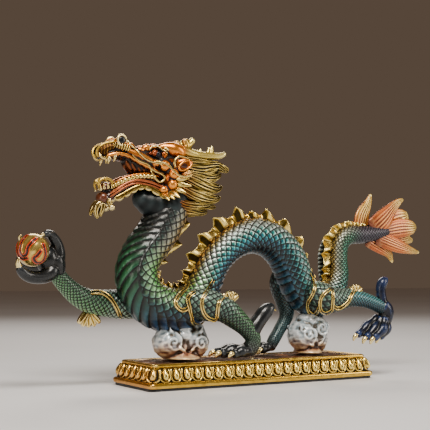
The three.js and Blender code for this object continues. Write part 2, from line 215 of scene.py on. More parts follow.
def mirrored(stations, flank):
    return [(s[0], s[1] * flank, *s[2:]) for s in stations]


def mesh_of(bm, name="cast"):
    bmesh.ops.recalc_face_normals(bm, faces=bm.faces)
    mesh = bpy.data.meshes.new(name)
    bm.to_mesh(mesh)
    bm.free()
    return mesh


def melted(bm, grain, rounds=2):
    """Runs overlapping shapes together into one skin, as wax is before casting."""
    mesh = mesh_of(bm, "wax")
    wax = bpy.data.objects.new("wax", mesh)
    bpy.context.scene.collection.objects.link(wax)
    skin = wax.modifiers.new("skin", "REMESH")
    skin.mode = "VOXEL"
    skin.voxel_size = grain
    depsgraph = bpy.context.evaluated_depsgraph_get()
    whole = bpy.data.meshes.new_from_object(wax.evaluated_get(depsgraph))
    bpy.data.objects.remove(wax)
    bm = bmesh.new()
    bm.from_mesh(whole)
    for _ in range(rounds):
        bmesh.ops.smooth_vert(
            bm, verts=bm.verts, factor=0.5, use_axis_x=True, use_axis_y=True, use_axis_z=True
        )
    bm.to_mesh(whole)
    bm.free()
    return whole


def wash(mesh, reach=8, depth=0.5):
    """Stores `recess`: 0 on proud edges, half on plain skin, 1 in the carving's depths."""
    count = len(mesh.vertices)
    ends = np.empty(len(mesh.edges) * 2, np.int32)
    mesh.edges.foreach_get("vertices", ends)
    one, other = ends.reshape(-1, 2).T
    degree = np.maximum(np.bincount(one, minlength=count) + np.bincount(other, minlength=count), 1)
    points = points_of(mesh)
    softened = points.copy()
    for _ in range(reach):
        total = np.empty_like(softened)
        for axis in range(3):
            values = softened[:, axis]
            total[:, axis] = np.bincount(one, values[other], count) + np.bincount(other, values[one], count)
        softened = total / degree[:, None]
    sunk = np.sum((softened - points) * normals_of(mesh), axis=1)
    keep(mesh, "recess", np.clip(0.5 + sunk / (2 * depth), 0, 1))
    return mesh


def place_piece(name, mesh, material, replaced="dragon", foot=FIGURE_FOOT):
    """Turns a mesh in millimetres over `foot` into a piece that rides on the object."""
    mesh.transform(Matrix.Translation((0, 0, foot * MM)) @ Matrix.Diagonal((MM, MM, MM, 1)))
    mesh.name = name
    mesh.shade_smooth()
    mesh.materials.clear()
    mesh.materials.append(material)
    piece = bpy.data.objects.new(name, mesh)
    bpy.context.scene.collection.objects.link(piece)
    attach(piece, "root")
    if replaced:
        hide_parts(replaced)


# Materials


def linear(colour):
    """An sRGB hex colour as the linear RGBA that the shaders take."""
    channels = [int(colour[i : i + 2], 16) / 255 for i in (1, 3, 5)]
    turned = [c / 12.92 if c <= 0.04045 else ((c + 0.055) / 1.055) ** 2.4 for c in channels]
    return (*turned, 1.0)


# What each name that `add` takes stands for: a node's kind and settings, the inputs that its terms go
# to, in order, and the output that comes back. Any other name is an operation of the Math node.
NODES = {
    "stored": ("ShaderNodeAttribute", {}, (), "Fac"),
    "scale map": ("ShaderNodeUVMap", {"uv_map": "scales"}, (), 0),
    "place": ("ShaderNodeTexCoord", {}, (), "Object"),
    "x": ("ShaderNodeSeparateXYZ", {}, (0,), 0),
    "y": ("ShaderNodeSeparateXYZ", {}, (0,), 1),
    "z": ("ShaderNodeSeparateXYZ", {}, (0,), 2),
    "noise": ("ShaderNodeTexNoise", {}, ("Vector", "Scale", "Detail", "Distortion"), "Fac"),
    "open sky": ("ShaderNodeAmbientOcclusion", {"samples": 8}, ("Distance",), "AO"),
    "ramp": ("ShaderNodeValToRGB", {}, ("Fac",), 0),
    # 0 below the first bound and 1 above the second, smooth between them.
    "fade": (
        "ShaderNodeMapRange", {"interpolation_type": "SMOOTHSTEP"}, ("Value", "From Min", "From Max"),
        "Result"
    ),
    # Values and colours mixed by a share, and a colour multiplied by another.
    "between": ("ShaderNodeMix", {}, (0, 2, 3), 0),
    "mix": ("ShaderNodeMix", {"data_type": "RGBA"}, (0, 6, 7), 2),
    "tint": ("ShaderNodeMix", {"data_type": "RGBA", "blend_type": "MULTIPLY"}, (0, 6, 7), 2),
    "bump": ("ShaderNodeBump", {}, ("Height", "Strength", "Distance"), 0),
}


def add(tree, name, *terms, stops=None, **settings):
    """Adds a node with its settings and colour stops. Its terms are sockets, numbers or hex colours."""
    kind, fixed, inputs, output = NODES.get(name, ("ShaderNodeMath", {"operation": name}, (0, 1, 2), 0))
    made = tree.nodes.new(kind)
    for key, value in {**fixed, **settings}.items():
        setattr(made, key, value)
    if stops:
        bar = made.color_ramp.elements
        while len(bar) < len(stops):
            bar.new(0.5)
        for element, (position, colour) in zip(bar, stops):
            element.position = position
            element.color = linear(colour) if isinstance(colour, str) else (colour,) * 3 + (1,)
    for key, term in zip(inputs, terms):
        if isinstance(term, (int, float, str)):
            made.inputs[key].default_value = linear(term) if isinstance(term, str) else term
        else:
            tree.links.new(term, made.inputs[key])
    return made.outputs[output]


def new_finish(name, metallic, roughness, **inputs):
    """A material with its surface shader; a metal keeps the shader's own IOR."""
    material = bpy.data.materials.new(name)
    material.use_nodes = True
    surface = material.node_tree.nodes["Principled BSDF"]
    surface.inputs["Metallic"].default_value = metallic
    surface.inputs["Roughness"].default_value = roughness
    for key, value in inputs.items():
        surface.inputs[key.replace("_", " ")].default_value = value
    return material, material.node_tree, surface


def scale_lines(tree):
    """Share of a scale's length from a point to its free edge, and from the edge that covers it."""
    place = add(tree, "scale map")
    row, column = add(tree, "x", place), add(tree, "y", place)
    even = add(tree, "PINGPONG", column, 0.5)
    odd = add(tree, "SUBTRACT", 0.5, even)
    behind = []
    for half, shift in ((even, 0.0), (odd, -0.5)):
        bow = add(tree, "POWER", add(tree, "MULTIPLY", half, 2.0), SCALE_BOW)
        moved = add(tree, "ADD", add(tree, "MULTIPLY", bow, 0.5), add(tree, "ADD", row, shift))
        behind.append(add(tree, "FRACT", moved))
    covered = add(tree, "MINIMUM", *behind)
    free = add(tree, "SUBTRACT", 1.0, add(tree, "MAXIMUM", *behind))
    return free, covered


def crevice_shade(tree, reach):
    """Painted shade: 0 on open skin, 1 deep between forms that stand within `reach` mm of each other."""
    return add(tree, "fade", add(tree, "open sky", reach * MM), 0.85, 0.25)


# Painted shade on each scale: dark at its covered root, in the shade of the scale over it, and light at its
# free edge.
SCALE_SHADE = [(0.0, 0.02), (0.36, 0.26), (0.68, 0.85), (1.0, 1.05)]
# The near-black of the painted shade in every gap and where forms meet.
GAP_SHADE = "#050706"


def scaled_lacquer(name, flank_paints, rims, rim_share, dark_gap):
    """Translucent lacquers over silvered scales, with painted shade left near-black in the gaps.

    Each scale is painted with shade, dark at its covered root, rising to a dry-brushed bright rim at its free
    edge.
    `flank_paints` holds, for each stretch, where it starts and ends along and its colours from the
    back (0) to the belly (1). `rim_share` says how strong the rims are along the limb, and `dark_gap`
    how far the painted shade reaches from under the covering scale, in scale lengths.
    """
    roughness = 0.34
    material, tree, surface = new_finish(name, 0.35, roughness, Coat_Weight=0.35, Coat_Roughness=0.18)
    along, from_back, belly, plate_row, ridge = (
        add(tree, "stored", attribute_name=stored)
        for stored in ("along", "round", "belly", "plate_row", "ridge")
    )
    spot = add(tree, "place")
    # Brush marks about 4 mm across and specks about 1 mm across.
    cloudy, specks = add(tree, "noise", spot, 250.0, 3.0), add(tree, "noise", spot, 1100.0, 2.0)
    place = add(tree, "ADD", from_back, add(tree, "MULTIPLY_ADD", cloudy, 0.22, -0.11))
    colour = None
    for start, end, stops in flank_paints:
        paint = add(tree, "ramp", place, stops=stops)
        if colour is not None:
            paint = add(tree, "mix", add(tree, "fade", along, start, end), colour, paint)
        colour = paint
    # On the belly the plates take the place of the scales.
    free, covered = scale_lines(tree)
    plate_share = add(tree, "FRACT", plate_row)
    plate_free = add(tree, "SUBTRACT", 1.0, plate_share)
    free = add(tree, "between", belly, free, plate_free)
    covered = add(tree, "between", belly, covered, plate_share)
    rise = add(tree, "DIVIDE", covered, add(tree, "ADD", free, covered))
    # Painted shade along each scale, from its dark root to its light free edge.
    shade = add(tree, "ramp", rise, stops=SCALE_SHADE)
    shaded = add(tree, "tint", 1.0, colour, shade)
    rim_paint = add(tree, "ramp", place, stops=rims)
    worn = add(tree, "fade", specks, 0.34, 0.6)
    rim = add(tree, "MULTIPLY", add(tree, "fade", free, 0.3, 0.1), worn)
    rim = add(tree, "MULTIPLY", rim, add(tree, "MULTIPLY_ADD", belly, -0.7, 1.0))
    strong = add(tree, "ramp", along, stops=rim_share)
    rimmed = add(tree, "mix", add(tree, "MULTIPLY", rim, strong), shaded, rim_paint)
    # Painted shade in the gap just behind the edge of each covering scale.
    gap = add(tree, "fade", covered, dark_gap, 0.25 * dark_gap)
    with_gap_shade = add(tree, "mix", add(tree, "MULTIPLY", gap, 0.95), rimmed, GAP_SHADE)
    # A dry-brushed silver line along the border of the belly plates, between two dark ones.
    beside_ridge = add(tree, "MULTIPLY", add(tree, "fade", ridge, 0.02, 0.3), 0.85)
    with_gap_shade = add(tree, "mix", beside_ridge, with_gap_shade, "#0c100f")
    silver_line = add(tree, "MULTIPLY", add(tree, "fade", ridge, 0.55, 0.9), worn)
    with_gap_shade = add(tree, "mix", silver_line, with_gap_shade, "#aab4b4")
    # Painted shade where forms meet, within about 4 mm.
    with_gap_shade = add(tree, "mix", add(tree, "MULTIPLY", crevice_shade(tree, 4.0), 0.85), with_gap_shade, GAP_SHADE)
    tree.links.new(with_gap_shade, surface.inputs["Base Color"])
    tree.links.new(add(tree, "MULTIPLY_ADD", gap, 0.4, roughness), surface.inputs["Roughness"])
    height = add(tree, "SUBTRACT", add(tree, "MULTIPLY", rise, 0.6), gap)
    height = add(tree, "ADD", height, add(tree, "MULTIPLY", specks, 0.25))
    bump = add(tree, "bump", height, 0.5, 0.0006)
    tree.links.new(bump, surface.inputs["Normal"])
    return material


# Colours from the back to the belly for each stretch of the body.
NECK_PAINTS = [(0.0, "#3a260c"), (0.1, "#a8822a"), (0.19, "#8a8c34"), (0.3, "#3c9a38"), (0.4, "#6cbc62"),
               (0.5, "#92bc90"), (0.58, "#33493c"), (0.68, "#205236"), (0.84, "#327248"), (1.0, "#164630")]
HEAD_END_PAINTS = [(0.0, "#120f0c"), (0.14, "#6a4410"), (0.26, "#967224"), (0.38, "#a0a088"),
                   (0.5, "#3a4442"), (0.66, "#141a1a"), (1.0, "#0e1314")]
CHEST_PAINTS = [(0.0, "#3a260c"), (0.12, "#7a7434"), (0.24, "#4c9e48"), (0.36, "#94c88c"), (0.46, "#3f6a5c"),
                (0.54, "#16303c"), (0.64, "#10263e"), (0.8, "#1c4674"), (1.0, "#16304c")]
ARCH_PAINTS = [(0.0, "#4a2a04"), (0.09, "#96601a"), (0.16, "#7c7440"), (0.24, "#a8b4a6"), (0.34, "#8fb4a8"),
               (0.43, "#1fa096"), (0.52, "#1a90a6"), (0.6, "#10405c"), (0.74, "#0c222e"), (1.0, "#123a50")]
FALL_PAINTS = [(0.0, "#4a2c08"), (0.08, "#8a6a28"), (0.16, "#98aa9e"), (0.3, "#3f8f84"), (0.45, "#147c7c"),
               (0.56, "#0e4a54"), (0.64, "#071c22"), (0.72, "#154a64"), (1.0, "#123a52")]
TAIL_PAINTS = [(0.0, "#3c2c10"), (0.14, "#8a7838"), (0.28, "#a8b094"), (0.45, "#2f6a44"), (0.62, "#1f7046"),
               (1.0, "#1a5a40")]
TAIL_END_PAINTS = [(0.0, "#2a2030"), (0.3, "#4c4054"), (0.55, "#4a3c50"), (0.75, "#3c3448"), (1.0, "#2c2c38")]
BODY_STRETCHES = [(0, 0, HEAD_END_PAINTS), (0.11, 0.18, NECK_PAINTS), (0.19, 0.26, CHEST_PAINTS),
                  (0.34, 0.4, ARCH_PAINTS), (0.52, 0.58, FALL_PAINTS), (0.74, 0.8, TAIL_PAINTS),
                  (0.87, 0.93, TAIL_END_PAINTS)]
# Colours of the scales' rims from back to belly, and how strong they are from the nape to the tail.
BODY_RIMS = [(0.0, "#a87828"), (0.14, "#c0a050"), (0.24, "#f0f2ea"), (0.42, "#e0f0e8"), (0.52, "#6fd8cc"),
             (0.62, "#2f7f90"), (1.0, "#7fae9c")]
BODY_RIM_SHARE = [(0.0, 0.0), (0.1, 0.04), (0.2, 0.2), (0.34, 0.3), (0.42, 0.8), (0.72, 0.7), (0.84, 0.35),
                  (0.9, 0.12), (1.0, 0.1)]
LEG_RIM_SHARE = [(0.0, 0.3), (1.0, 0.3)]
# Half the angle that the belly plates take up, in degrees, at shares of the body's length.
PLATE_SHARES = [0, 0.12, 0.22, 0.35, 0.5, 0.68, 0.78, 1]
PLATE_DEGREES = [66, 72, 66, 52, 50, 46, 50, 40]


def scale_relief(rows, columns):
    """How far along its scale each point lies, 0 at the covered root to 1 at the free edge."""
    even = np.abs(columns - np.round(columns))
    behind_even = (rows + 0.5 * (2 * even) ** SCALE_BOW) % 1.0
    behind_odd = (rows - 0.5 + 0.5 * (2 * (0.5 - even)) ** SCALE_BOW) % 1.0
    covered = np.minimum(behind_even, behind_odd)
    free = 1 - np.maximum(behind_even, behind_odd)
    return covered / np.maximum(covered + free, 1e-6)


def rows_along(stations):
    """Counts scale lengths along a limb whose scales are as long as they are wide."""
    share = np.linspace(0, 1, 3000)
    middle, sizes = knots_of(stations)
    centre = smooth_curve(middle, share)
    width = smooth_curve(sizes, share).mean(axis=1) * FULL_TURN / SCALES_ROUND
    steps = np.linalg.norm(np.diff(centre, axis=0), axis=1) / ((width[1:] + width[:-1]) / 2)
    return share, np.concatenate([[0], np.cumsum(steps)])


def scaled_skin(stations, fineness, plate_half=None, dome=0.02):
    """A limb clad in scales, with overlapping belly plates where `plate_half` gives their half angle.

    The scales' rows and columns are its UV map, and `along`, `round`, `belly`, `plate_row` and
    `ridge` are stored at its points.
    """
    share, count = rows_along(stations)
    rows = count[-1]
    mesh, along, turn = flat_sheet(int(rows * fineness), int(SCALES_ROUND * fineness))
    row = along * rows
    along = np.interp(row, count, share)
    column = turn * SCALES_ROUND
    angle = turn * FULL_TURN
    from_back = np.abs((angle + math.pi) % FULL_TURN - math.pi) / math.pi
    rise = scale_relief(row, column)
    size = smooth_curve(knots_of(stations)[1], along).mean(axis=1)
    width = size * FULL_TURN / SCALES_ROUND
    # Each scale is crowned as well as raised at its free edge.
    lift = width * (0.12 * rise + 0.07 * np.sin(math.pi * np.clip(rise, 0, 1)) - 0.08)
    belly, plate_row, ridge = np.zeros((3, len(along)))
    if plate_half:
        half = plate_half(along)
        out = (1 - from_back) * math.pi / half
        belly = np.clip((1.03 - out) / 0.06, 0, 1)
        # On the neck the plates slant down from the ridge to the middle.
        slant = np.interp(along, [0, 0.16, 0.3, 0.42, 1], [2.2, 2.2, 1.4, 0.35, 0.35])
        plate_row = row * 1.08 - slant * (1 - np.minimum(out, 1))
        # Each plate rises to its free edge by about a quarter of a scale's width.
        plate_lift = width * (0.26 * (plate_row % 1.0) ** 0.8 - 0.13) * np.sqrt(np.clip(1.06 - out, 0, 1))
        ridge_share = np.interp(along, [0, 0.09, 0.12, 0.17, 0.21], [0, 0.3, 0.9, 0.8, 0.2])
        ridge = np.exp(-(((out - 1.03) / 0.045) ** 2)) * ridge_share
        lift = lift * (1 - belly) + plate_lift * belly + ridge * width * 0.1
    middle = smooth_curve(knots_of(stations)[0], along)
    skin = wrapped(stations, along, angle, lift)
    set_points(mesh, middle + (skin - middle) * round_ends(along, dome)[:, None])
    stored = {"along": along, "round": from_back, "belly": belly, "plate_row": plate_row, "ridge": ridge}
    for name, values in stored.items():
        keep(mesh, name, values)
    corners = np.empty(len(mesh.loops), np.int32)
    mesh.loops.foreach_get("vertex_index", corners)
    layer = mesh.uv_layers.new(name="scales")
    layer.data.foreach_set("uv", np.stack([row[corners], column[corners]], axis=1).astype(np.float32).ravel())
    return closed(mesh)


def body_plate_half(along):
    return np.radians(np.interp(along, PLATE_SHARES, PLATE_DEGREES))


def build_body():
    lacquer = scaled_lacquer("lacquered_body_scales", BODY_STRETCHES, BODY_RIMS, BODY_RIM_SHARE, 0.36)
    place_piece("body", scaled_skin(SPINE, BODY_FINENESS, body_plate_half), lacquer)


# The legs' middle lines, from the trunk to the foot: x, y, height, radius.
NEAR_FORELEG = [
    (-76, -10, 56, 13), (-60, -20, 53, 15.2), (-43, -24, 49, 12.8), (-30, -26, 40, 10.6),
    (-18, -27, 30, 8.6), (-10, -27, 20, 7.8), (-12, -27, 11, 7.4), (-17, -26, 6.5, 5.6),
]
NEAR_HIND_LEG = [
    (70, -8, 66, 13), (80, -20, 58, 15.6), (94, -24, 56, 12.4), (110, -26, 58, 9.6),
    (127, -27, 56, 7.9), (144, -27, 51, 7.2), (158, -27, 44, 7.2), (158, -27, 34, 6.5),
]
FAR_HIND_LEG = [
    (62, 6, 92, 12), (54, 16, 75, 12.6), (60, 19, 55, 10.5), (61, 18, 39, 7.4),
    (51, 16, 25, 6.2), (42, 14, 14, 6.2), (38, 14, 7.5, 5.4),
]
FAR_FORELEG = [
    (-92, 4, 58, 13), (-113, 12, 55, 14.5), (-133, 16, 54, 13.9), (-149, 17, 55, 12.6),
    (-165, 15, 57, 11.2), (-179, 12, 63, 9.6), (-191, 10, 72, 8.2), (-200, 9, 82, 7.6),
    (-203, 8, 92, 9),
]


def build_legs():
    silver = [(0.0, "#dfe8dc"), (0.5, "#c8dccb"), (1.0, "#6f9f8a")]
    green = [(0.0, "#80b47c"), (0.3, "#428446"), (0.55, "#205832"), (1.0, "#0c2418")]
    patch = [(0.0, "#a8b8ac"), (0.35, "#6c9480"), (0.6, "#2c554a"), (1.0, "#122a28")]
    black = [(0.0, "#3a4a3c"), (0.5, "#1c2420"), (1.0, "#0c1010")]
    teal = [(0.0, "#84d4cc"), (0.32, "#26a2aa"), (0.62, "#0e5c72"), (1.0, "#0a2e40")]
    navy = [(0.0, "#3f8aa0"), (0.5, "#1c3f5c"), (1.0, "#0f2034")]
    dark_teal = [(0.0, "#3f8e98"), (0.5, "#1c5866"), (1.0, "#0e2c36")]
    legs = [
        ("near_foreleg", NEAR_FORELEG, [(0, 0, patch), (0.3, 0.42, green), (0.66, 0.86, black)]),
        ("near_hind_leg", NEAR_HIND_LEG, [(0, 0, patch), (0.36, 0.5, teal), (0.66, 0.86, navy)]),
        ("far_hind_leg", FAR_HIND_LEG, [(0, 0, dark_teal), (0.5, 0.8, dark_teal), (0.8, 1, black)]),
        ("far_foreleg", FAR_FORELEG, [(0, 0, patch), (0.3, 0.45, green), (0.86, 0.98, black)]),
    ]
    for name, stations, paints in legs:
        lacquer = scaled_lacquer(f"lacquered_{name}_scales", paints, silver, LEG_RIM_SHARE, 0.44)
        place_piece(name, scaled_skin(stations, LEG_FINENESS, dome=0.05), lacquer)


# Gilding, copper and enamel


def cast_finish(name, stops, metallic, roughness, grain=0.3, bare=0.75, warm=None, **inputs):
    """Metal leaf or lacquer over a carved casting, rubbed on the edges and dark in the depths.

    `stops` run from proud edges (0) over plain skin (0.5) to the depths (1). `warm` tints one end:
    its colour, and the piece's x in mm where the tint starts and is full.
    """
    material, tree, surface = new_finish(name, metallic, roughness, **inputs)
    recess = add(tree, "stored", attribute_name="recess")
    place = add(tree, "place")
    # Rubbed patches about 5 mm across over a cast grain of about 0.8 mm.
    rubbed, grainy = add(tree, "noise", place, 200.0, 3.0), add(tree, "noise", place, 1300.0, 2.0)
    uneven = add(tree, "ADD", recess, add(tree, "MULTIPLY_ADD", rubbed, 0.24, -0.12))
    depth = add(tree, "ADD", uneven, add(tree, "MULTIPLY_ADD", grainy, 0.1, -0.05))
    # Painted shade also darkens wherever two forms meet, within about 3 mm.
    depth = add(tree, "ADD", depth, add(tree, "MULTIPLY", crevice_shade(tree, 3.0), 0.45))
    colour = add(tree, "ramp", depth, stops=stops)
    if warm:
        tint, start, full = warm
        share = add(tree, "fade", add(tree, "x", place), start * MM, full * MM)
        tinted = add(tree, "tint", 1.0, colour, tint)
        colour = add(tree, "mix", add(tree, "MULTIPLY", share, 0.85), colour, tinted)
    tree.links.new(colour, surface.inputs["Base Color"])
    if metallic > 0.5:
        worn = add(tree, "MULTIPLY_ADD", add(tree, "fade", depth, 0.62, 0.95), -bare, metallic)
        tree.links.new(worn, surface.inputs["Metallic"])
    dull = add(tree, "MULTIPLY_ADD", add(tree, "fade", depth, 0.5, 0.9), 0.35, roughness)
    dull = add(tree, "ADD", dull, add(tree, "MULTIPLY_ADD", grainy, 0.16, -0.08))
    tree.links.new(dull, surface.inputs["Roughness"])
    bump = add(tree, "bump", grainy, grain, 0.0003)
    tree.links.new(bump, surface.inputs["Normal"])
    return material


# Champagne gold leaf: pale and glossy on the edges, umber wash in the carving.
PALE_GOLD = cast_finish("champagne_gold_leaf", [
    (0.05, "#ffe9a4"), (0.36, "#ceb058"), (0.52, "#806226"), (0.68, "#2c1e0a"), (0.86, "#0c0803"),
], 1.0, 0.26, grain=0.12)
# Olive gold of the mane: the same leaf under a brown glaze that stays between the hairs, with painted shade
# between the locks.
OLIVE_GOLD = cast_finish("glazed_olive_gold", [
    (0.08, "#ecd484"), (0.34, "#9c843c"), (0.48, "#54461a"), (0.6, "#241c08"), (0.8, "#0c0803"),
], 0.95, 0.34, warm=("#c86430", -66, -90))
# Yellow gold leaf of the crest, deeper than the trims, with olive-dark painted shade in its folds.
CREST_GOLD = cast_finish("yellow_crest_gold", [
    (0.08, "#ffe890"), (0.36, "#d8b450"), (0.52, "#9a7c2c"), (0.68, "#40340e"), (0.9, "#161204"),
], 1.0, 0.26)
# Soft yellow gold of the horns, running into copper over the brow.
HORN_GOLD = cast_finish("pale_horn_gold", [
    (0.1, "#fff0a0"), (0.44, "#dcc056"), (0.62, "#94782a"), (0.85, "#3a2c0c"),
], 0.85, 0.3, grain=0.1, warm=("#e0783c", -70, -84))
# Olive and brown glaze brushed over the gold of the curled lips.
MUZZLE_BRUSH = cast_finish("brown_glazed_olive_gold", [
    (0.0, "#d8b450"), (0.2, "#8a6420"), (0.4, "#44280a"), (0.58, "#1a0c04"), (0.85, "#080402"),
], 0.85, 0.34)
# Copper lacquer of the face: light orange on the swells, burnt orange beside them, black-brown wash.
COPPER = cast_finish("copper_lacquer", [
    (0.05, "#f6a040"), (0.3, "#c06414"), (0.46, "#803a08"), (0.6, "#341604"), (0.78, "#0d0502"),
], 0.85, 0.28, grain=0.1, Coat_Weight=0.2, Coat_Roughness=0.12)
# Salmon lacquer of the lower lips and the eyes.
SALMON = cast_finish("salmon_lip_lacquer", [
    (0.05, "#d87c48"), (0.32, "#8a4020"), (0.48, "#4a1e0e"), (0.66, "#1c0a05"), (0.9, "#080302"),
], 0.6, 0.3, grain=0.1, Coat_Weight=0.15, Coat_Roughness=0.12)
# Gloss black enamel of the feet and the raised hand, with a cold grey bloom on the edges.
BLACK_ENAMEL = cast_finish("gloss_black_enamel", [
    (0.1, "#2a2f33"), (0.4, "#101315"), (0.7, "#060708"), (1.0, "#020203"),
], 0.05, 0.3, grain=0.15, Coat_Weight=0.3, Coat_Roughness=0.12, Specular_IOR_Level=0.35)
# Gloss navy enamel of the lifted hind foot and the pupils.
NAVY_ENAMEL = cast_finish("gloss_navy_enamel", [
    (0.1, "#2a3c66"), (0.4, "#080d1c"), (0.66, "#04060c"), (1.0, "#010204"),
], 0.1, 0.3, grain=0.15, Coat_Weight=0.25, Coat_Roughness=0.12, Specular_IOR_Level=0.35)
# Dark brown glaze of the jaw inside its lips and of the ears' hollows.
MOUTH_BROWN = cast_finish("brown_mouth_glaze", [
    (0.05, "#8a4a28"), (0.4, "#3a180c"), (0.6, "#1c0b06"), (0.85, "#080302"),
], 0.25, 0.3, Coat_Weight=0.4, Coat_Roughness=0.12)


def laid_on(skin, outline, lift=0.2, ease=8):
    """Lays a line, drawn on the figure's middle plane, on the skin that the camera sees behind it."""
    x, y, height = CAMERA_PLACE
    eye = Vector((x, y, height - FIGURE_FOOT))
    laid = []
    for x, z in outline:
        way = (Vector((x, 0, z)) - eye).normalized()
        hit, normal, _, _ = skin.ray_cast(eye, way)
        laid.append(hit + normal * lift if hit else Vector((x, 0, z)))
    points = np.array([tuple(p) for p in laid])
    for _ in range(ease):
        points[1:-1] = 0.5 * points[1:-1] + 0.25 * (points[:-2] + points[2:])
    return points


def finer(outline, steps):
    return smooth_curve(outline, np.linspace(0, 1, steps))


def strand(bm, points, radius, sides=8, taper=0.12):
    """Adds a thin round line along the points, pointed at both ends over the share `taper`."""
    rings = len(points) - 1
    made = bmesh.ops.create_grid(bm, x_segments=rings, y_segments=sides, size=0.5)["verts"]
    points = np.array([tuple(p) for p in points], float)
    step = unit(np.gradient(points, axis=0))
    lean = np.where(np.abs(step[:, 1:2]) > 0.9, [[1.0, 0.0, 0.0]], [[0.0, 1.0, 0.0]])
    side = unit(np.cross(step, lean))
    back = np.cross(side, step)
    for vert in made:
        along, turn = vert.co.x + 0.5, (vert.co.y + 0.5) * FULL_TURN
        ring = int(round(along * rings))
        girth = radius * min(1.0, min(along, 1 - along) / taper) ** 0.5
        spread = side[ring] * math.cos(turn) + back[ring] * math.sin(turn)
        vert.co = points[ring] + spread * girth
    bmesh.ops.remove_doubles(bm, verts=made, dist=1e-4)


def skin_of(*limbs):
    """A plain copy of limbs, for laying lines on them."""
    bm = bmesh.new()
    for stations in limbs:
        limb(bm, stations, 32, 80, dome=0.02)
    bmesh.ops.recalc_face_normals(bm, faces=bm.faces)
    return BVHTree.FromBMesh(bm)


def beside(outline, gap):
    """The same flat outline moved sideways by `gap`."""
    outline = np.asarray(outline, float)
    step = unit(np.gradient(outline, axis=0))
    return outline + np.stack([-step[:, 1], step[:, 0]], axis=1) * gap


# Gilded double lines round the shoulder and hip scales, drawn on the middle plane: x, height.
SHOULDER_LINES = [
    [(-67.9, 74.6), (-70.1, 70.0), (-76.3, 64.2), (-81.9, 59.5), (-83.6, 54.3), (-80.8, 49.4),
     (-75.2, 46.4), (-69.5, 47.2), (-66, 50)],
    [(-59.2, 66.1), (-66.7, 62.2), (-68.9, 57.2), (-66.7, 50.2), (-65.6, 42.2), (-63.8, 35.1),
     (-58.0, 31.6), (-52.3, 33.9), (-48.2, 37.8)],
    [(-39.5, 79.0), (-45.2, 69.9), (-48.6, 64.0), (-52.9, 58.9), (-53.4, 52.0), (-51.7, 45.0),
     (-46.3, 38.8), (-39.5, 36.6), (-34.9, 37.5), (-33.5, 44.6), (-32.9, 50.7), (-31.2, 55.7),
     (-26.4, 59.7), (-20.4, 59.7), (-15.0, 57.0)],
]
HIP_LINES = [
    [(77.5, 85.5), (83.6, 74.1), (83.6, 65.1), (77.3, 56.2), (74.1, 48.6), (77.2, 42.3), (83.4, 39.6),
     (89.8, 43.3), (91.4, 48.4)],
    [(107.5, 68.8), (99.6, 65.0), (92.3, 58.6), (90.6, 49.7), (92.9, 43.3), (99.3, 40.6), (107.3, 43.7),
     (109.0, 49.4), (109.9, 59.7), (108.3, 67.5)],
    [(108.9, 48.1), (113.9, 45.6), (121.9, 47.3), (130.2, 53.0), (135.2, 60.9), (142.0, 65.3), (148.4, 64.0)],
]
ARM_LINE = [(-171.9, 63.9), (-160.2, 63.4), (-151.8, 58.7), (-145.8, 50.9), (-140.5, 40.7)]


def build_limb_lines():
    bm = bmesh.new()
    near = skin_of(SPINE, NEAR_FORELEG, NEAR_HIND_LEG)
    far = skin_of(FAR_FORELEG)
    for skin, lines in ((near, SHOULDER_LINES), (near, HIP_LINES), (far, [ARM_LINE])):
        for line in lines:
            fine = finer(line, 60)
            for gap, girth in ((0.0, 1.0), (2.5, 0.8)):
                strand(bm, laid_on(skin, beside(fine, gap), 0.9), girth)
    mesh = wash(mesh_of(bm), 2, 0.6)
    place_piece("limb_gold_lines", mesh, PALE_GOLD)


# Each foot: its enamel, its toes (root, knuckle, end and thickness) and the limbs behind them.
FEET = {
    "near_forefoot": (BLACK_ENAMEL, [
        ((-14, -21, 9), (-30, -16, 9), (-46, -12.5, 6), 6.2),
        ((-14, -25, 9), (-31, -22.5, 8.6), (-45, -22.5, 5.6), 6.2),
        ((-13, -29, 9), (-25, -29.5, 7.4), (-35, -30, 5.2), 5.8),
    ], [[(-12, -27, 22, 8.4), (-9, -27, 30, 8.4), (-2, -27, 38, 7.6), (4, -27, 44.8, 7.6), (10, -27, 48, 6.6),
         (14.5, -27, 46.4, 3.8)],
        [(-9, -26, 14, 8), (-16, -25, 8.5, 7), (-24, -24, 6.5, 5)]]),
    "near_hindfoot": (NAVY_ENAMEL, [
        ((158, -27, 38), (156, -30.5, 25), (145, -31.5, 15.6), 6.0),
        ((155, -30, 37), (148, -34, 25), (135, -34.5, 15), 5.8),
        ((153, -27, 37), (142, -29, 26), (128, -30.5, 15.4), 5.8),
        ((152, -24, 38), (137, -22.5, 28), (121, -24, 18), 5.6),
    ], [[(156, -27, 46, 7), (153, -27, 56, 5.8), (152, -27, 66, 5.4), (154, -27, 73, 5.6),
         (158, -27, 76, 4.6), (161, -27, 76, 2.4)],
        [(150, -27, 51, 8.2), (158, -27, 45, 8.6), (158, -27, 36, 8), (152, -27, 29, 6)]]),
    "far_hindfoot": (BLACK_ENAMEL, [
        ((40, 11, 8), (29, 7.5, 7.6), (20, 4.5, 5), 5.2),
        ((40, 14, 8), (27, 14, 8), (18, 14, 5), 5.2),
        ((40, 17, 8), (30, 20.5, 7.6), (22, 24, 5), 5.2),
    ], []),
}


def toe_stations(root, knuckle, end, thick):
    root, knuckle, end = (np.array(p, float) for p in (root, knuckle, end))
    shank = (root + knuckle) / 2 + (0, 0, -0.4)
    pad = (knuckle + end) / 2 + (0, 0, -0.6)
    return [
        (*root, thick), (*shank, thick * 0.82), (*knuckle, thick), (*pad, thick * 0.78), (*end, thick * 0.8)
    ]


def claw_stations(knuckle, end, thick):
    knuckle, end = np.array(knuckle, float), np.array(end, float)
    reach = (end - knuckle) / np.linalg.norm(end - knuckle)
    return [
        (*(end - reach * 1.5 + (0, 0, 0.8)), thick * 0.42),
        (*(end + reach * 2.5 + (0, 0, 0.4)), thick * 0.4),
        (*(end + reach * 5.4 + (0, 0, -thick * 0.4)), thick * 0.16),
    ]


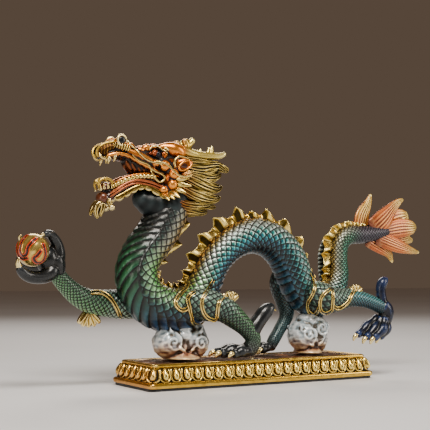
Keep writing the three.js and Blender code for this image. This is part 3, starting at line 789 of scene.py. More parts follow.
def build_feet():
    claws = bmesh.new()
    for name, (enamel, toes, spurs) in FEET.items():
        foot = bmesh.new()
        for root, knuckle, end, thick in toes:
            limb(foot, toe_stations(root, knuckle, end, thick), 16, 24, dome=0.12)
            limb(claws, claw_stations(knuckle, end, thick), 12, 12, dome=0.1)
        for spur in spurs:
            limb(foot, spur, 16, 24, dome=0.15)
        mesh = wash(melted(foot, 0.78, 1), 6, 0.35)
        place_piece(name, mesh, enamel)
    limb(claws, [(11, -27, 48, 2.2), (15, -27, 47.4, 1.5), (18, -27, 46, 0.4)], 12, 10)
    for tip in ([(-216, -2, 119, 2.4), (-222, -6, 117, 1.6), (-225, -8, 114, 0.5)],
                [(-241.4, -6, 87, 3), (-244.2, -8, 93, 2), (-243.4, -9, 98, 0.5)],
                [(-232, 15, 112, 2.6), (-236, 11, 116, 1.6), (-236, 7, 118, 0.5)]):
        limb(claws, tip, 12, 12, dome=0.1)
    place_piece("claws", wash(mesh_of(claws), 3, 0.4), PALE_GOLD)


def cut_from(mesh, cutter):
    """Cuts one mesh out of another, as a clean hollow."""
    body = bpy.data.objects.new("cast", mesh)
    tool = bpy.data.objects.new("cutter", cutter)
    for made in (body, tool):
        bpy.context.scene.collection.objects.link(made)
    cut = body.modifiers.new("cut", "BOOLEAN")
    cut.operation = "DIFFERENCE"
    cut.object = tool
    cut.solver = "EXACT"
    depsgraph = bpy.context.evaluated_depsgraph_get()
    whole = bpy.data.meshes.new_from_object(body.evaluated_get(depsgraph))
    bpy.data.objects.remove(body)
    bpy.data.objects.remove(tool)
    return whole


def build_hand():
    hand = bmesh.new()
    ball(hand, (-211, 8, 96), (11, 11, 13))
    for finger in (
        [(-203, 8, 88, 8), (-201, 6, 100, 7), (-203, 4, 110, 5.4), (-209, 1, 117, 4.6), (-215, -3, 119, 3.6),
         (-220, -5, 117, 2.4)],
        [(-203, 5, 90, 8), (-212, 2, 82, 7), (-222, -1, 79.5, 6), (-232, -3, 80.5, 5.6), (-240, -6, 85, 4.6),
         (-243.5, -7, 91, 2.4)],
        [(-206, 12, 97, 7), (-215, 17, 102, 5.6), (-225, 18, 108, 4.8), (-232, 15, 112.5, 3.4)],
        [(-206, 14, 92, 7), (-216, 19, 90, 6), (-228, 19, 92, 5.2), (-237, 13, 98, 3.4)],
        [(-201, 8, 80, 7.4), (-203, 7, 92, 9.4), (-206, 5, 100, 8)],
    ):
        limb(hand, finger, 16, 28, dome=0.14)
    mesh = melted(hand, 0.8, 2)
    # The palm is hollowed round the pearl, which stays its own piece.
    hollow = bmesh.new()
    ball(hollow, (-228, -2, 104), (15.75, 15.75, 15.75), 5)
    mesh = cut_from(mesh, mesh_of(hollow, "hollow"))
    place_piece("pearl_hand", wash(mesh, 6, 0.4), BLACK_ENAMEL)


# Head


# The middle line of the skull from the nape to the nose: x, y, height, half width, half height.
SKULL = [
    (-56, 0, 178, 12, 12), (-72, 0, 182, 15, 15), (-88, 0, 185, 15.5, 16), (-101, 0, 188, 13.5, 14.5),
    (-113, 0, 192.5, 11.5, 11), (-126, 0, 195, 10, 7.6), (-138, 0, 198.5, 9.5, 6.4), (-149, 0, 200, 9.5, 6.2),
    (-157, 0, 197.5, 8, 6.4), (-162, 0, 195, 5.5, 5),
]
# Swells of one side of the face: centre and radii.
FACE_SWELLS = [
    ((-111.2, 12.2, 187.6), (5.0, 4.4, 4.6)), ((-101, 14, 186), (5.8, 4.6, 5.4)),
    ((-93, 16.4, 178.2), (5.4, 5, 5.7)), ((-94.2, 16.2, 168.2), (5.4, 5, 5.5)),
    ((-102.3, 14, 163), (4.6, 4, 4)),
    ((-117.3, 6.4, 203), (5.2, 4.4, 4)), ((-124, 6.6, 200.6), (5, 4.4, 3.4)),
    ((-131, 6.5, 201), (4.4, 4, 3.2)),
    ((-110, 7, 204.4), (4.6, 4.4, 3.2)), ((-145.5, 8, 205.4), (7, 4.6, 6.4)), ((-137, 8.4, 203.4), (6, 4, 4)),
    ((-84, 16, 186), (8, 4, 6)), ((-101.5, 10.6, 197.2), (5, 4, 4)),
]
# The eye and the corner of the mouth on the +Y side, and the spacing of the ribs in the mouth's roof.
EYE = (-108.5, 12, 197.4)
MOUTH_CORNER = (-109, 14.8, 174.4)
ROOF_RIB = 4.6
# The raised gold line of the lip with its loop, and the one over the cheek.
LIP_LINE = [
    (-138, 10.8, 202), (-135.6, 11.4, 197.6), (-132.6, 12, 193), (-126.6, 13, 189), (-119.7, 14, 186.6),
    (-116.8, 14.6, 183.2), (-111.9, 15.4, 180), (-106, 16.2, 177.9), (-103, 16.8, 175.1), (-104.1, 17, 171.7),
    (-108.3, 16.6, 170.2), (-112.2, 16, 173.3), (-115, 15.4, 177.5), (-116.4, 14.6, 181),
]
CHEEK_LINE = [
    (-113.5, 17.6, 189.7), (-108.9, 19, 188.8), (-104.4, 20.5, 187.6), (-100.8, 22, 185.2),
    (-97.5, 23.8, 181.4), (-94.1, 25.6, 177.6), (-90.3, 26.6, 175.8), (-84.1, 27, 175.7),
    (-76.9, 26, 177.1),
]
# Thickness and outline of the lines laid along the nose and the upper lid.
FACE_LINES = [
    (0.88, [(-134.5, 210.5), (-131.9, 206.3), (-124.5, 200.6), (-117.5, 195.0), (-110.1, 191.4),
            (-99.7, 189.5), (-95.5, 188.6)]),
    (0.85, [(-111.5, 201.8), (-109.8, 204.6), (-105.4, 206.2), (-99.7, 205.6), (-94.8, 202.6),
            (-91.5, 199.6)]),
]


def hollow_reach(points, centre, flank, radii):
    """How far each point lies from a hollow of one flank, in shares of the hollow's radii."""
    x, y, z = centre
    return np.linalg.norm((points - [x, y * flank, z]) / radii, axis=1)


def face_lacquer():
    """The copper lacquer, with dark brown glaze where `mouth` marks the roof of the mouth."""
    face = COPPER.copy()
    face.name = "copper_face_lacquer"
    tree = face.node_tree
    surface = tree.nodes["Principled BSDF"]
    inside = add(tree, "stored", attribute_name="mouth")
    shade = add(tree, "stored", attribute_name="recess")
    brown = add(tree, "ramp", shade, stops=[(0.2, "#7a401a"), (0.5, "#371b0c"), (0.75, "#140805")])
    copper = surface.inputs["Base Color"].links[0].from_socket
    tree.links.new(add(tree, "mix", inside, copper, brown), surface.inputs["Base Color"])
    return face


def build_face():
    """The copper face. Its skin comes back too, for lines to be laid on."""
    bm = bmesh.new()
    limb(bm, SKULL, 32, 60, dome=0.05)
    for flank in FLANKS:
        for centre, radii in FACE_SWELLS:
            ball(bm, (centre[0], centre[1] * flank, centre[2]), radii)
        for stations, sides in (
            # The salmon band between the nose line and the lip line.
            ([(-139, 9, 199.5, 2.6, 3), (-130, 10.6, 195.6, 3.4, 4.2), (-120, 12, 191.4, 3.4, 3.8),
              (-112, 13, 188, 2.6, 3)], 16),
            # The brow, swelling back into the horn.
            ([(-106, 8, 203.6, 2.6), (-99, 9, 204.2, 5), (-91, 10, 202.8, 7.4), (-84, 10.4, 200.8, 6.8),
              (-79, 10, 199.6, 5)],
             20),
            # Cheekbone and hinge of the jaw.
            ([(-92, 12, 184, 6, 7), (-94, 12.6, 175, 6, 7), (-95, 12, 166, 6, 6.4),
              (-99, 11, 160, 5, 5)], 20),
            # Rim of the upper lip, with its gum.
            ([(-160, 7, 192, 2.4, 2.4), (-150, 9.4, 195, 2.2, 2.4), (-138, 10.4, 193.4, 2.2, 2.4),
              (-126, 11.4, 187.6, 2.4, 2.6), (-114, 13, 182, 2.4, 2.6), (-107, 13.4, 176, 2, 2.2)], 12),
        ):
            limb(bm, mirrored(stations, flank), sides, 40)
    # The deep, ribbed roof of the mouth.
    limb(bm, [(-158, 0, 196, 6, 4.5), (-149, 0, 195.4, 8, 6), (-142, 0, 194.6, 8.4, 5.6),
              (-136, 0, 194, 8.4, 5.6), (-131, 0, 187.5, 8.4, 9), (-123, 0, 183.4, 8.8, 8.2),
              (-113, 0, 181.5, 9, 7), (-104, 0, 180, 8, 6)], 28, 60)
    mesh = melted(bm, 0.84, 2)
    points, normals = points_of(mesh), normals_of(mesh)
    # Eye sockets pressed in under the brows, and pits inside the lip's loops.
    for flank in FLANKS:
        for centre, radii, depth, edge in (
            (EYE, [8.5, 6, 5.4], 3.4, 1.1),
            (MOUTH_CORNER, [6.4, 7, 4.8], 4, 1.05),
        ):
            pressed = depth * np.clip(edge - hollow_reach(points, centre, flank, radii), 0, 1)
            points -= normals * pressed[:, None]
    # Ribs across the roof of the mouth.
    x, out, z = points[:, 0], np.abs(points[:, 1]), points[:, 2]
    lip_height = np.interp(x, [-160, -150, -138, -126, -114, -107], [191, 194, 192.4, 186.4, 180.6, 174])
    inner = np.clip((9.6 - out) / 1.2, 0, 1) * np.clip((lip_height + 1.5 - z) / 2, 0, 1)
    inner *= np.clip((-104 - x) / 3, 0, 1)
    roof = np.maximum(inner, np.clip(-normals[:, 2] * 2.2 - 0.4, 0, 1) * (x < -106) * (z < 200))
    points -= normals * (0.65 * roof * (0.5 + 0.5 * np.cos((x + 0.5 * z) * FULL_TURN / ROOF_RIB)))[:, None]
    set_points(mesh, points)
    wash(mesh, 10, 0.36)
    # Painted shade darkens the eye sockets and the pits inside the lip's loops.
    shade = np.zeros(len(points))
    for flank in FLANKS:
        for centre, radii in ((EYE, [9, 7, 5.6]), (MOUTH_CORNER, [6.6, 8, 5])):
            shade = np.maximum(shade, np.clip((1.15 - hollow_reach(points, centre, flank, radii)) * 4, 0, 1))
    keep(mesh, "recess", np.clip(kept(mesh, "recess") + 0.4 * shade, 0, 1))
    keep(mesh, "mouth", roof)
    skin = BVHTree.FromPolygons([tuple(p) for p in points], [tuple(f.vertices) for f in mesh.polygons])
    place_piece("face", mesh, face_lacquer())
    return skin


def build_face_gold(skin):
    bm = bmesh.new()
    for girth, line in FACE_LINES:
        laid = laid_on(skin, finer(line, 80), 0.9, 14)
        for flank in FLANKS:
            strand(bm, [(p[0], p[1] * -flank, p[2]) for p in laid], girth)
    for flank in FLANKS:
        strand(bm, finer([(x, y * flank, z) for x, y, z in LIP_LINE], 110), 1.02, 10)
        strand(bm, finer([(x, y * flank, z) for x, y, z in CHEEK_LINE], 60), 1.0, 10)
    for flank in FLANKS:
        # A raised ring round each nostril.
        middle = np.array((-145.5, 12, 208))
        ring = [middle + (5 * math.cos(t), -1.2 * math.cos(t), 5 * math.sin(t))
                for t in np.linspace(-0.6, 5.6, 40)]
        strand(bm, [(x, y * flank, z) for x, y, z in ring], 1.25, taper=0.05)
        # A gilded comb of lip whiskers under the nostril.
        limb(bm, mirrored([(-153.8, 9.6, 204, 1.6, 2.4), (-148.6, 11, 203, 2.2, 3),
                           (-142.4, 11.4, 201.8, 2.2, 3.2),
                           (-136.2, 11.4, 199.8, 1.6, 2.4)], flank),
             20, 70, dome=0.12, relief=ripples(0.55, 0, 8 * FULL_TURN))
        # Fangs and a gold hook at the front of the lip.
        for x, z in ((-157, 191), (-151, 193.4)):
            fang = [(x, 9, z + 1.4, 1.9), (x - 0.6, 9.4, z - 2.4, 1.5), (x - 1.4, 9, z - 6, 0.3)]
            limb(bm, mirrored(fang, flank), 10, 12)
        limb(bm, mirrored([(-166, 5, 196, 1.2), (-165, 7, 192.4, 1.3), (-161.5, 7.6, 190.6, 1.4),
                           (-158.8, 7.4, 192, 1.1), (-159.6, 7.4, 194.2, 0.6)], flank), 12, 24)
        # Beads of brow hair.
        for x, z in ((-100.2, 203.4), (-97.4, 202), (-94.6, 200.4), (-92.2, 198.6)):
            ball(bm, (x, 13.6 * flank, z), (1.7, 1.3, 1.5), 2)
    place_piece("face_gold", wash(mesh_of(bm), 3, 0.5), PALE_GOLD)


def build_eyes_and_nostrils():
    for name, swells, enamel in (
        # Black discs in the nostrils: painted shade standing for their holes.
        ("nostril_shade_discs", [((-145.6, 11.8, 208), (3.9, 1.5, 3.9))], BLACK_ENAMEL),
        ("eyes", [((-110.6, 11.2, 198.2), (3.4, 3, 3.2)), ((-114.6, 9.8, 197.4), (2, 2, 1.8))], SALMON),
        ("pupils", [((-107.8, 13.4, 197), (2.4, 1.6, 2.6))], NAVY_ENAMEL),
    ):
        bm = bmesh.new()
        for flank in FLANKS:
            for (x, y, z), radii in swells:
                ball(bm, (x, y * flank, z), radii)
        place_piece(name, wash(mesh_of(bm), 2, 0.6), enamel)


def build_muzzle():
    """The curled front of the upper lip, combed into fine hairs that hang inside its rim."""
    outline = [(-149, 206.6), (-157, 205.6), (-164, 202.6), (-167.6, 198.6), (-167.6, 194.6), (-164.8, 192)]
    rim = finer(outline, 46)
    shares = np.linspace(0, 1, len(rim))
    hairs, rims = bmesh.new(), bmesh.new()
    for flank in FLANKS:
        middle = np.array((-155.5, 8.6 * flank, 197.5))
        for share, (x, z) in zip(shares, rim):
            deep = 8.4 - 5.4 * share
            start = np.array((x, deep * flank, z))
            bulge = (start + middle) / 2 + (0, 1.8 * flank, -0.6)
            end = middle + (start - middle) * 0.12 + (0, 0, -2.4 * share)
            limb(hairs, [(*start, 0.9), (*bulge, 0.95), (*end, 0.4)], 8, 10)
        edge = [(x, (8.6 - 5.4 * share) * flank, z) for share, (x, z) in zip(shares, rim)]
        strand(rims, edge, 1.35, taper=0.06)
    core = bmesh.new()
    ball(core, (-158.6, 0, 198.6), (7.4, 8, 6.8), 4)
    mesh = mesh_of(core)
    keep(mesh, "recess", np.full(len(mesh.vertices), 0.66))
    place_piece("muzzle_core", mesh, MUZZLE_BRUSH)
    mesh = mesh_of(hairs)
    keep(mesh, "recess", 0.4 + 0.14 * np.sin(points_of(mesh)[:, 0] * 2.3))
    place_piece("muzzle", mesh, MUZZLE_BRUSH)
    place_piece("muzzle_rim", wash(mesh_of(rims), 3, 0.3), MUZZLE_BRUSH)


# The middle line of the lower jaw from its hinge to the chin.
JAW = [
    (-90, 0, 166, 13, 9), (-106, 0, 165, 12, 7), (-119, 0, 167, 10.5, 5.4), (-130, 0, 166.6, 9.4, 5),
    (-142, 0, 162.6, 8.4, 4.6), (-153, 0, 156, 7, 5), (-160, 0, 153, 4.6, 5),
]
# The lip band, the row of teeth over it and the frilled hem below, on the middle plane: x, height.
LIP_BAND = [(-155.4, 157), (-148.8, 161.9), (-138.5, 168.3), (-128.1, 170.9), (-115.4, 169.3),
            (-104.7, 165.5), (-98, 161)]
TOOTH_ROW = [(-152.6, 163.7), (-146.8, 167.7), (-136.5, 172.4), (-126.0, 174.8), (-115.4, 175), (-107, 173)]
JAW_HEM = [(-150.5, 152.8), (-142.0, 157.0), (-135.9, 160.8), (-128.6, 164.5), (-121.2, 166.0),
           (-113.8, 163.7), (-105.2, 158.8), (-97.6, 154.2), (-90, 150)]
# Leaves behind the cheek: root x and height, tip x and height.
CHEEK_LEAVES = [(-92, 173.4, -80.2, 174.4), (-91, 169, -77.6, 167), (-92, 165, -83.8, 160),
                (-96, 162, -90.6, 155), (-99.5, 160, -96.4, 153.4), (-103, 158.6, -102, 152)]
LOWER_FANGS = [(-164, 160), (-160.4, 161.4), (-156.4, 162), (-152.4, 162)]
BEARD = [
    [(-163, -2.6, 150, 3), (-166.4, -3, 146, 3.2), (-167.6, -3, 141, 2.4), (-166, -2.6, 136, 1.4),
     (-165.2, -2, 134, 0.4)],
    [(-161, -3.4, 149, 3), (-161.6, -4, 144, 2.6), (-163, -4, 139, 1.6), (-163.4, -3.6, 136, 0.4)],
    [(-163, 3, 150, 3.2), (-167, 4, 145, 2.8), (-169.6, 4, 140, 1.6), (-170, 3, 137, 0.4)],
    [(-155.6, -5.4, 153, 2.2), (-155.8, -6.4, 149.6, 2), (-153.6, -6.8, 147.2, 1.8)],
    [(-155.6, 5.4, 153, 2.2), (-155.8, 6.4, 149.6, 2), (-153.6, 6.8, 147.2, 1.8)],
]


def serrated(along, angle):
    """Thirteen small arches along a ridge of teeth."""
    return 0.75 * np.abs(np.sin(along * math.pi * 13)) ** 0.7 - 0.3


def fringed(along, angle):
    """Eight lappets hanging along a hem."""
    return 1.7 * np.abs(np.sin(along * math.pi * 8)) ** 0.7 * np.maximum(-np.cos(angle), 0)


def build_jaw():
    bm = bmesh.new()
    limb(bm, JAW, 32, 50, dome=0.06)
    ball(bm, (-159.5, 0, 153.4), (6.6, 7, 6.6))
    ball(bm, (-157, 0, 164.5), (5.6, 5.4, 4.4))
    limb(bm, [(-100, 0, 172, 7, 4), (-122, 0, 173.5, 7, 3.4), (-140, 0, 169, 6.4, 3.2),
              (-150, 0, 166, 5.4, 3)], 20, 40)
    place_piece("lower_jaw", wash(melted(bm, 0.8, 2), 7, 0.5), MOUTH_BROWN)

    # Salmon lips: a broad band and a thin one under it, and a copper thread above the teeth.
    lips, thread = bmesh.new(), bmesh.new()
    band, teeth = finer(LIP_BAND, 60), finer(TOOTH_ROW, 60)
    out = np.interp(np.arange(60), [0, 12, 59], [6.4, 9.4, 15.2])
    for flank in FLANKS:
        strand(lips, [(x, d * flank, z + 0.2) for d, (x, z) in zip(out + 0.4, band)], 1.35, 14, taper=0.1)
        strand(lips, [(x, d * flank, z - 2.7) for d, (x, z) in zip(out, band)], 0.95, 12, taper=0.1)
        strand(thread, [(x, d * flank, z + 2.4) for d, (x, z) in zip(out - 1.6, teeth)], 1.1, 10, taper=0.1)
    place_piece("jaw_lips", wash(mesh_of(lips), 5, 0.5), SALMON)
    place_piece("jaw_thread", wash(mesh_of(thread), 3, 0.5), COPPER)

    bm = bmesh.new()
    spread = np.interp(np.arange(len(JAW_HEM)), [0, 8], [7, 16.4])
    for flank in FLANKS:
        ridge = [(x, d * flank, z, 1.5, 1.9) for d, (x, z) in zip(out[::6] + 0.2, teeth[::6])]
        limb(bm, ridge, 16, 110, relief=serrated)
        hem = [(x, d * flank, z, 1.1, 2.4) for d, (x, z) in zip(spread, finer(JAW_HEM, 9))]
        limb(bm, hem, 20, 110, relief=fringed)
        for x, z in LOWER_FANGS:
            fang = [(x, 5.6, z, 1.5), (x - 0.2, 5.9, z + 3, 1.1), (x - 0.8, 5.8, z + 6, 0.3)]
            limb(bm, mirrored(fang, flank), 10, 12)
        for x, z, tip_x, tip_z in CHEEK_LEAVES:
            middle = ((x + tip_x) / 2, 21, (z + tip_z) / 2, 1.7, 2.8)
            limb(bm, mirrored([(x, 15, z, 1.8, 3), middle, (tip_x, 25.4, tip_z, 0.5, 0.6)], flank), 16, 20)
    place_piece("jaw_gold", wash(mesh_of(bm), 3, 0.5), PALE_GOLD)


def build_lip_curl_and_beard():
    bm = bmesh.new()
    curl = finer([(-165, 162), (-165.4, 168), (-162.4, 171), (-157, 171.6), (-153, 169.4), (-150.6, 165)], 40)
    out = 4.4 + 1.6 * np.linspace(0, 1, 40)
    for flank in FLANKS:
        strand(bm, [(x, d * flank, z) for d, (x, z) in zip(out, curl)], 1.5, 12)
    limb(bm, [(-166, -4, 167.6, 1.4), (-166.6, 0, 168, 1.5), (-166, 4, 167.6, 1.4)], 12, 16)
    place_piece("lower_lip_curl", wash(mesh_of(bm), 4, 0.4), MUZZLE_BRUSH)

    bm = bmesh.new()
    for stations in BEARD:
        limb(bm, stations, 30, 30, relief=ripples(0.35, 6, 3))
    for flank in FLANKS:
        ball(bm, (-152.8, 6.8 * flank, 144.8), (3, 2.6, 2.8))
    place_piece("beard", wash(mesh_of(bm), 4, 0.4), PALE_GOLD)


def build_throat():
    """The smoke-black throat between the jaw and the first belly plates."""
    bm = bmesh.new()
    limb(bm, [(-128, 0, 158, 5, 5), (-121, 0, 155, 10, 9), (-112, 0, 151.5, 14, 12.6),
              (-102, 0, 149.5, 17.4, 16.4), (-92, 0, 149, 19.4, 17)],
         40, 60, dome=0.2, relief=ripples(0.25, 0, 4.5 * FULL_TURN))
    limb(bm, [(-80, 0, 164, 19, 17), (-88, 0, 152, 20.6, 18), (-95, 0, 139, 20.8, 19)], 40, 40, dome=0.2)
    throat = cast_finish("smoked_throat_lacquer", [
        (0.1, "#2a3436"), (0.42, "#12181a"), (0.7, "#070a0b"), (1.0, "#020303"),
    ], 0.0, 0.42, grain=0.15, Specular_IOR_Level=0.22)
    place_piece("throat", wash(melted(bm, 1.1, 3), 8, 0.5), throat)


# One horn: its beam, the two arms of its fork and two small points.
HORN = [
    [(-86, 9.4, 202.4, 5.4), (-78, 9.6, 202, 5.6), (-71, 10, 200, 5.2), (-63, 10.2, 198.8, 4.6),
     (-54.5, 10.8, 198.3, 4.2), (-46.5, 11.4, 198.8, 3.8), (-39.6, 12, 199.4, 3.2),
     (-34.5, 12.4, 201.4, 2.6), (-31.8, 12.4, 202.9, 2)],
    [(-75.5, 9, 202, 5.2), (-75.4, 9, 207, 4.2), (-76.4, 9, 211.6, 3.4), (-77.4, 9, 214.6, 2.9)],
    [(-74, 9, 206.5, 3.6), (-71, 9, 210.4, 3.2), (-68, 9, 213.4, 3.2), (-66.8, 9, 214.6, 2.6)],
    [(-48.8, 11.2, 200, 3.2), (-48, 11.4, 205, 2), (-47.4, 11.6, 209.6, 1.1)],
    [(-52.4, 11, 200, 2.8), (-51.4, 11.2, 204.4, 1.6), (-50.6, 11.4, 208, 0.9)],
]
EAR_RIM = [(-92, 184), (-93.6, 189), (-91.7, 192.9), (-87.4, 195.6), (-81, 194.4), (-75.6, 191.4),
           (-72.6, 189.6)]
EAR_SHELL = [(-92, 14.6, 184.5, 2.4, 3), (-86, 18.4, 187.4, 2.2, 5.4), (-79, 20, 188.4, 1.8, 5.4),
             (-73.6, 20, 189.4, 0.8, 1.8)]


def build_horns_and_ears():
    bm = bmesh.new()
    for flank in FLANKS:
        for stations in HORN:
            limb(bm, mirrored(stations, flank), 18, 30, dome=0.12)
    place_piece("horns", wash(melted(bm, 0.8, 2), 8, 0.7), HORN_GOLD)

    rims, shells, hollows = bmesh.new(), bmesh.new(), bmesh.new()
    outer = finer(EAR_RIM, 44)
    # The bead inside the shell is an open ellipse, tilted by about 29 degrees.
    turn, tilt = np.linspace(0.4, FULL_TURN - 0.3, 40), 0.5
    inner = [(-82.4 + 7.6 * math.cos(t) * math.cos(tilt) - 3.9 * math.sin(t) * math.sin(tilt),
              186.8 + 7.6 * math.cos(t) * math.sin(tilt) + 3.9 * math.sin(t) * math.cos(tilt)) for t in turn]
    for flank in FLANKS:
        limb(shells, mirrored(EAR_SHELL, flank), 24, 30)
        strand(rims, [(x, 19.2 * flank, z) for x, z in outer], 1.15, taper=0.06)
        strand(shells, [(x, 20.8 * flank, z) for x, z in inner], 1.0, taper=0.05)
        ball(hollows, (-82, 20.4 * flank, 187), (6, 1.3, 3.2))
    place_piece("ear_rims", wash(mesh_of(rims), 2, 0.6), PALE_GOLD)
    place_piece("ears", wash(mesh_of(shells), 4, 0.5), COPPER)
    place_piece("ear_hollows", wash(mesh_of(hollows), 2, 0.6), MOUTH_BROWN)


# Locks of one flank of the mane, from root to tip.
MANE_LOCKS = [
    [(-84, 10, 193, 3.6, 4), (-66, 12, 191, 4.2, 5), (-50, 10, 190.4, 4, 4.4), (-38, 9, 189, 3.6, 4),
     (-30, 8, 186.6, 2.4, 3), (-26.6, 8, 184.6, 0.7, 0.9)],
    [(-90, 14, 190, 2.6, 3.6), (-76, 17, 186.5, 4.4, 6.4), (-64, 18, 185.6, 4.8, 7.2),
     (-53, 17, 187.4, 4.4, 5.8), (-44.4, 16, 188.6, 3.8, 4.2), (-37.4, 15, 186.2, 2.8, 2.8),
     (-33.4, 14, 183.4, 0.8, 1)],
    [(-84, 17, 180, 3, 4), (-70, 19.4, 177.6, 4.4, 5.2), (-58, 18.6, 176.4, 4.6, 5.2),
     (-49, 17, 177.4, 4, 4.4), (-42.4, 15, 180, 2.6, 3), (-38.8, 14, 182, 0.7, 0.9)],
    [(-86, 17, 178, 3, 4), (-76, 20.4, 174.4, 4.4, 6), (-66, 20.8, 170.4, 4.8, 6.6), (-55, 19, 167.4, 4.6, 6),
     (-46, 16, 166.6, 3.8, 4.6), (-40, 14, 168.2, 2, 2.4), (-37.6, 13, 170.2, 0.7, 0.9)],
    [(-88, 16, 167, 3, 3.6), (-79, 19.4, 162.6, 4, 5.2), (-69, 19.8, 158.8, 4.6, 6),
     (-57, 17.6, 156.6, 4.2, 5.2), (-47, 15, 156.2, 3.4, 4), (-41, 13, 158, 1.6, 1.8),
     (-38.8, 12, 159.6, 0.7, 0.8)],
    [(-97, 14, 158, 2, 2.4), (-90, 16.6, 153, 2.6, 3.4), (-82, 18, 149.8, 3.2, 4), (-72, 17.6, 149, 3.4, 4),
     (-60, 15.6, 149.8, 3.2, 3.4), (-50, 13, 148.6, 2.4, 2.4), (-42.6, 11, 148.4, 0.7, 0.8)],
    [(-92, 11, 150, 3, 4), (-80, 13.6, 145.4, 4, 4.4), (-68, 12, 144, 3.8, 4), (-57, 9, 143.4, 2.8, 3),
     (-50, 7, 144.4, 0.7, 0.9)],
]


def build_mane():
    bm = bmesh.new()
    ball(bm, (-64, 0, 168), (23, 16, 23), 5)
    for row, stations in enumerate(MANE_LOCKS):
        coarse, fine = ripples(0.5, 11, 6, row), ripples(0.3, 17, -4, 2 * row)
        for flank in FLANKS:
            limb(bm, mirrored(stations, flank), 84, 36, dome=0.08,
                 relief=lambda along, angle: coarse(along, angle) + fine(along, angle))
    place_piece("mane", wash(mesh_of(bm), 4, 0.5), OLIVE_GOLD)


# Crest


# Each point of the crest: its share of the spine's length and its height over the skin.
CREST_POINTS = [
    (0.05, 5), (0.07, 8.8), (0.1, 10), (0.129, 8), (0.16, 7), (0.192, 6.5), (0.226, 6.5), (0.26, 6.5),
    (0.295, 8), (0.328, 10), (0.36, 14), (0.392, 17), (0.425, 18), (0.456, 19), (0.487, 17), (0.502, 8.5),
    (0.52, 12), (0.545, 11), (0.577, 11), (0.6, 7), (0.626, 6.5), (0.656, 7.5), (0.69, 7), (0.725, 6.5),
    (0.752, 8), (0.78, 12), (0.808, 13.5), (0.834, 14), (0.856, 14.5), (0.878, 9.5), (0.9, 6), (0.918, 5),
    (0.936, 4), (0.955, 3),
]
# Where in a pleat its point stands, and where its dark face turns into the bright fold.
POINT_PHASE, FOLD_PHASE = 0.24, 0.36


def pleated_ribbon(mesh, along, turn, share, phase, peak, valley, swing):
    """Shapes a sheet into a gilded ribbon stood on the back and pleated from side to side.

    `phase` runs 0 to 1 along each pleat: a steep face that looks towards the head, dark with painted shade,
    the point, then a bright fold that falls away behind it. `peak` and `valley` are the ribbon's heights, and
    `swing` is how far it sways to each side.
    """
    steep = np.clip(phase / POINT_PHASE, 0, 1)
    falling = np.clip((phase - POINT_PHASE) / 0.56, 0, 1)
    crown = steep**1.2 * (1 - falling) ** 1.5
    height = (valley + (peak - valley) * crown) * round_ends(along, 0.02)
    angle = turn * FULL_TURN
    up = (1 - np.cos(angle)) / 2
    base = wrapped(SPINE, share, np.zeros_like(along), -1.0)
    back = unit(wrapped(SPINE, share, np.zeros_like(along), 1.0) - base)
    step = 1e-3
    ahead, behind = (wrapped(SPINE, share + s, np.zeros_like(along)) for s in (step, -step))
    forward = unit(ahead - behind)
    side = np.cross(back, forward)
    dark_face = np.cos(math.pi * phase / FOLD_PHASE)
    bright_fold = -np.cos(math.pi * (phase - FOLD_PHASE) / (1 - FOLD_PHASE))
    fold = np.where(phase < FOLD_PHASE, dark_face, bright_fold)
    calm = np.prod([np.sin(math.pi / 2 * np.clip(end * 14, 0, 1)) for end in (along, 1 - along)], axis=0)
    sway = swing * fold * (0.2 + 0.8 * up**0.8) * calm
    thick = 0.95 * np.sin(angle) * (1 - 0.2 * up)
    # The point of each pleat leans towards the head.
    lean = -0.24 * height * up**2 * crown
    points = base + back * (up * height)[:, None] + forward * lean[:, None] + side * (sway + thick)[:, None]
    set_points(mesh, points)
    # Painted shade on each pleat's face that looks towards the head, and in the crease before the next pleat.
    face = np.clip((phase - 0.04) / 0.05, 0, 1) * np.clip((0.33 - phase) / 0.05, 0, 1)
    face *= np.clip((0.92 - up) / 0.08, 0, 1)
    crease = np.exp(-(((phase - 0.96) / 0.05) ** 2))
    keep(mesh, "glazed", np.clip(face + 0.6 * crease * np.clip((0.9 - up) * 5, 0, 1), 0, 1))
    mesh = closed(mesh)
    wash(mesh, 2, 0.5)
    keep(mesh, "recess", np.clip(0.5 * kept(mesh, "recess") - 0.04 + 0.5 * kept(mesh, "glazed"), 0, 1))
    return mesh


def ribbed(along, angle):
    """Thirteen bent ribs along the fin."""
    return 0.45 * np.cos(along * FULL_TURN * 13 + 2 * np.cos(angle))


def build_crest():
    """A pleated gilded ribbon along the back, pointed at each pleat, and a dark fin on the tail."""
    mesh, along, turn = flat_sheet(len(CREST_POINTS) * 30, 24)
    places, heights = np.array(CREST_POINTS).T
    share = places[0] + (places[-1] - places[0]) * along
    number = np.interp(share, places, np.arange(len(places)))
    peak = np.interp(number, np.arange(len(places)), heights)
    swing = np.clip(peak * 0.28, 1.4, 4.2)
    valley = peak * np.interp(share, [0.74, 0.78], [0.42, 0.72]) + 0.8
    mesh = pleated_ribbon(mesh, along, turn, share, (number + POINT_PHASE) % 1.0, peak, valley, swing)
    # The gold is brighter on the tail.
    on_tail = np.clip((points_of(mesh)[:, 0] - 84) / 4, 0, 1)
    keep(mesh, "recess", kept(mesh, "recess") * (1 - 0.45 * on_tail))
    place_piece("crest", mesh, CREST_GOLD)

    bm = bmesh.new()
    limb(bm, [(105, 8, 68, 1.2, 3), (102.6, 8.4, 80, 1.5, 6), (102, 8.6, 94, 1.5, 6.2),
              (102.8, 8.4, 108, 1.5, 6), (107, 8, 121, 1.2, 3.6)], 36, 120, dome=0.08, relief=ribbed)
    smoky = cast_finish("smoke_grey_fin_lacquer", [
        (0.1, "#8c948c"), (0.4, "#3c4644"), (0.6, "#161c1c"), (0.85, "#060808"),
    ], 0.3, 0.36, Coat_Weight=0.2)
    place_piece("tail_fin", wash(mesh_of(bm), 3, 0.3), smoky)


# Tail


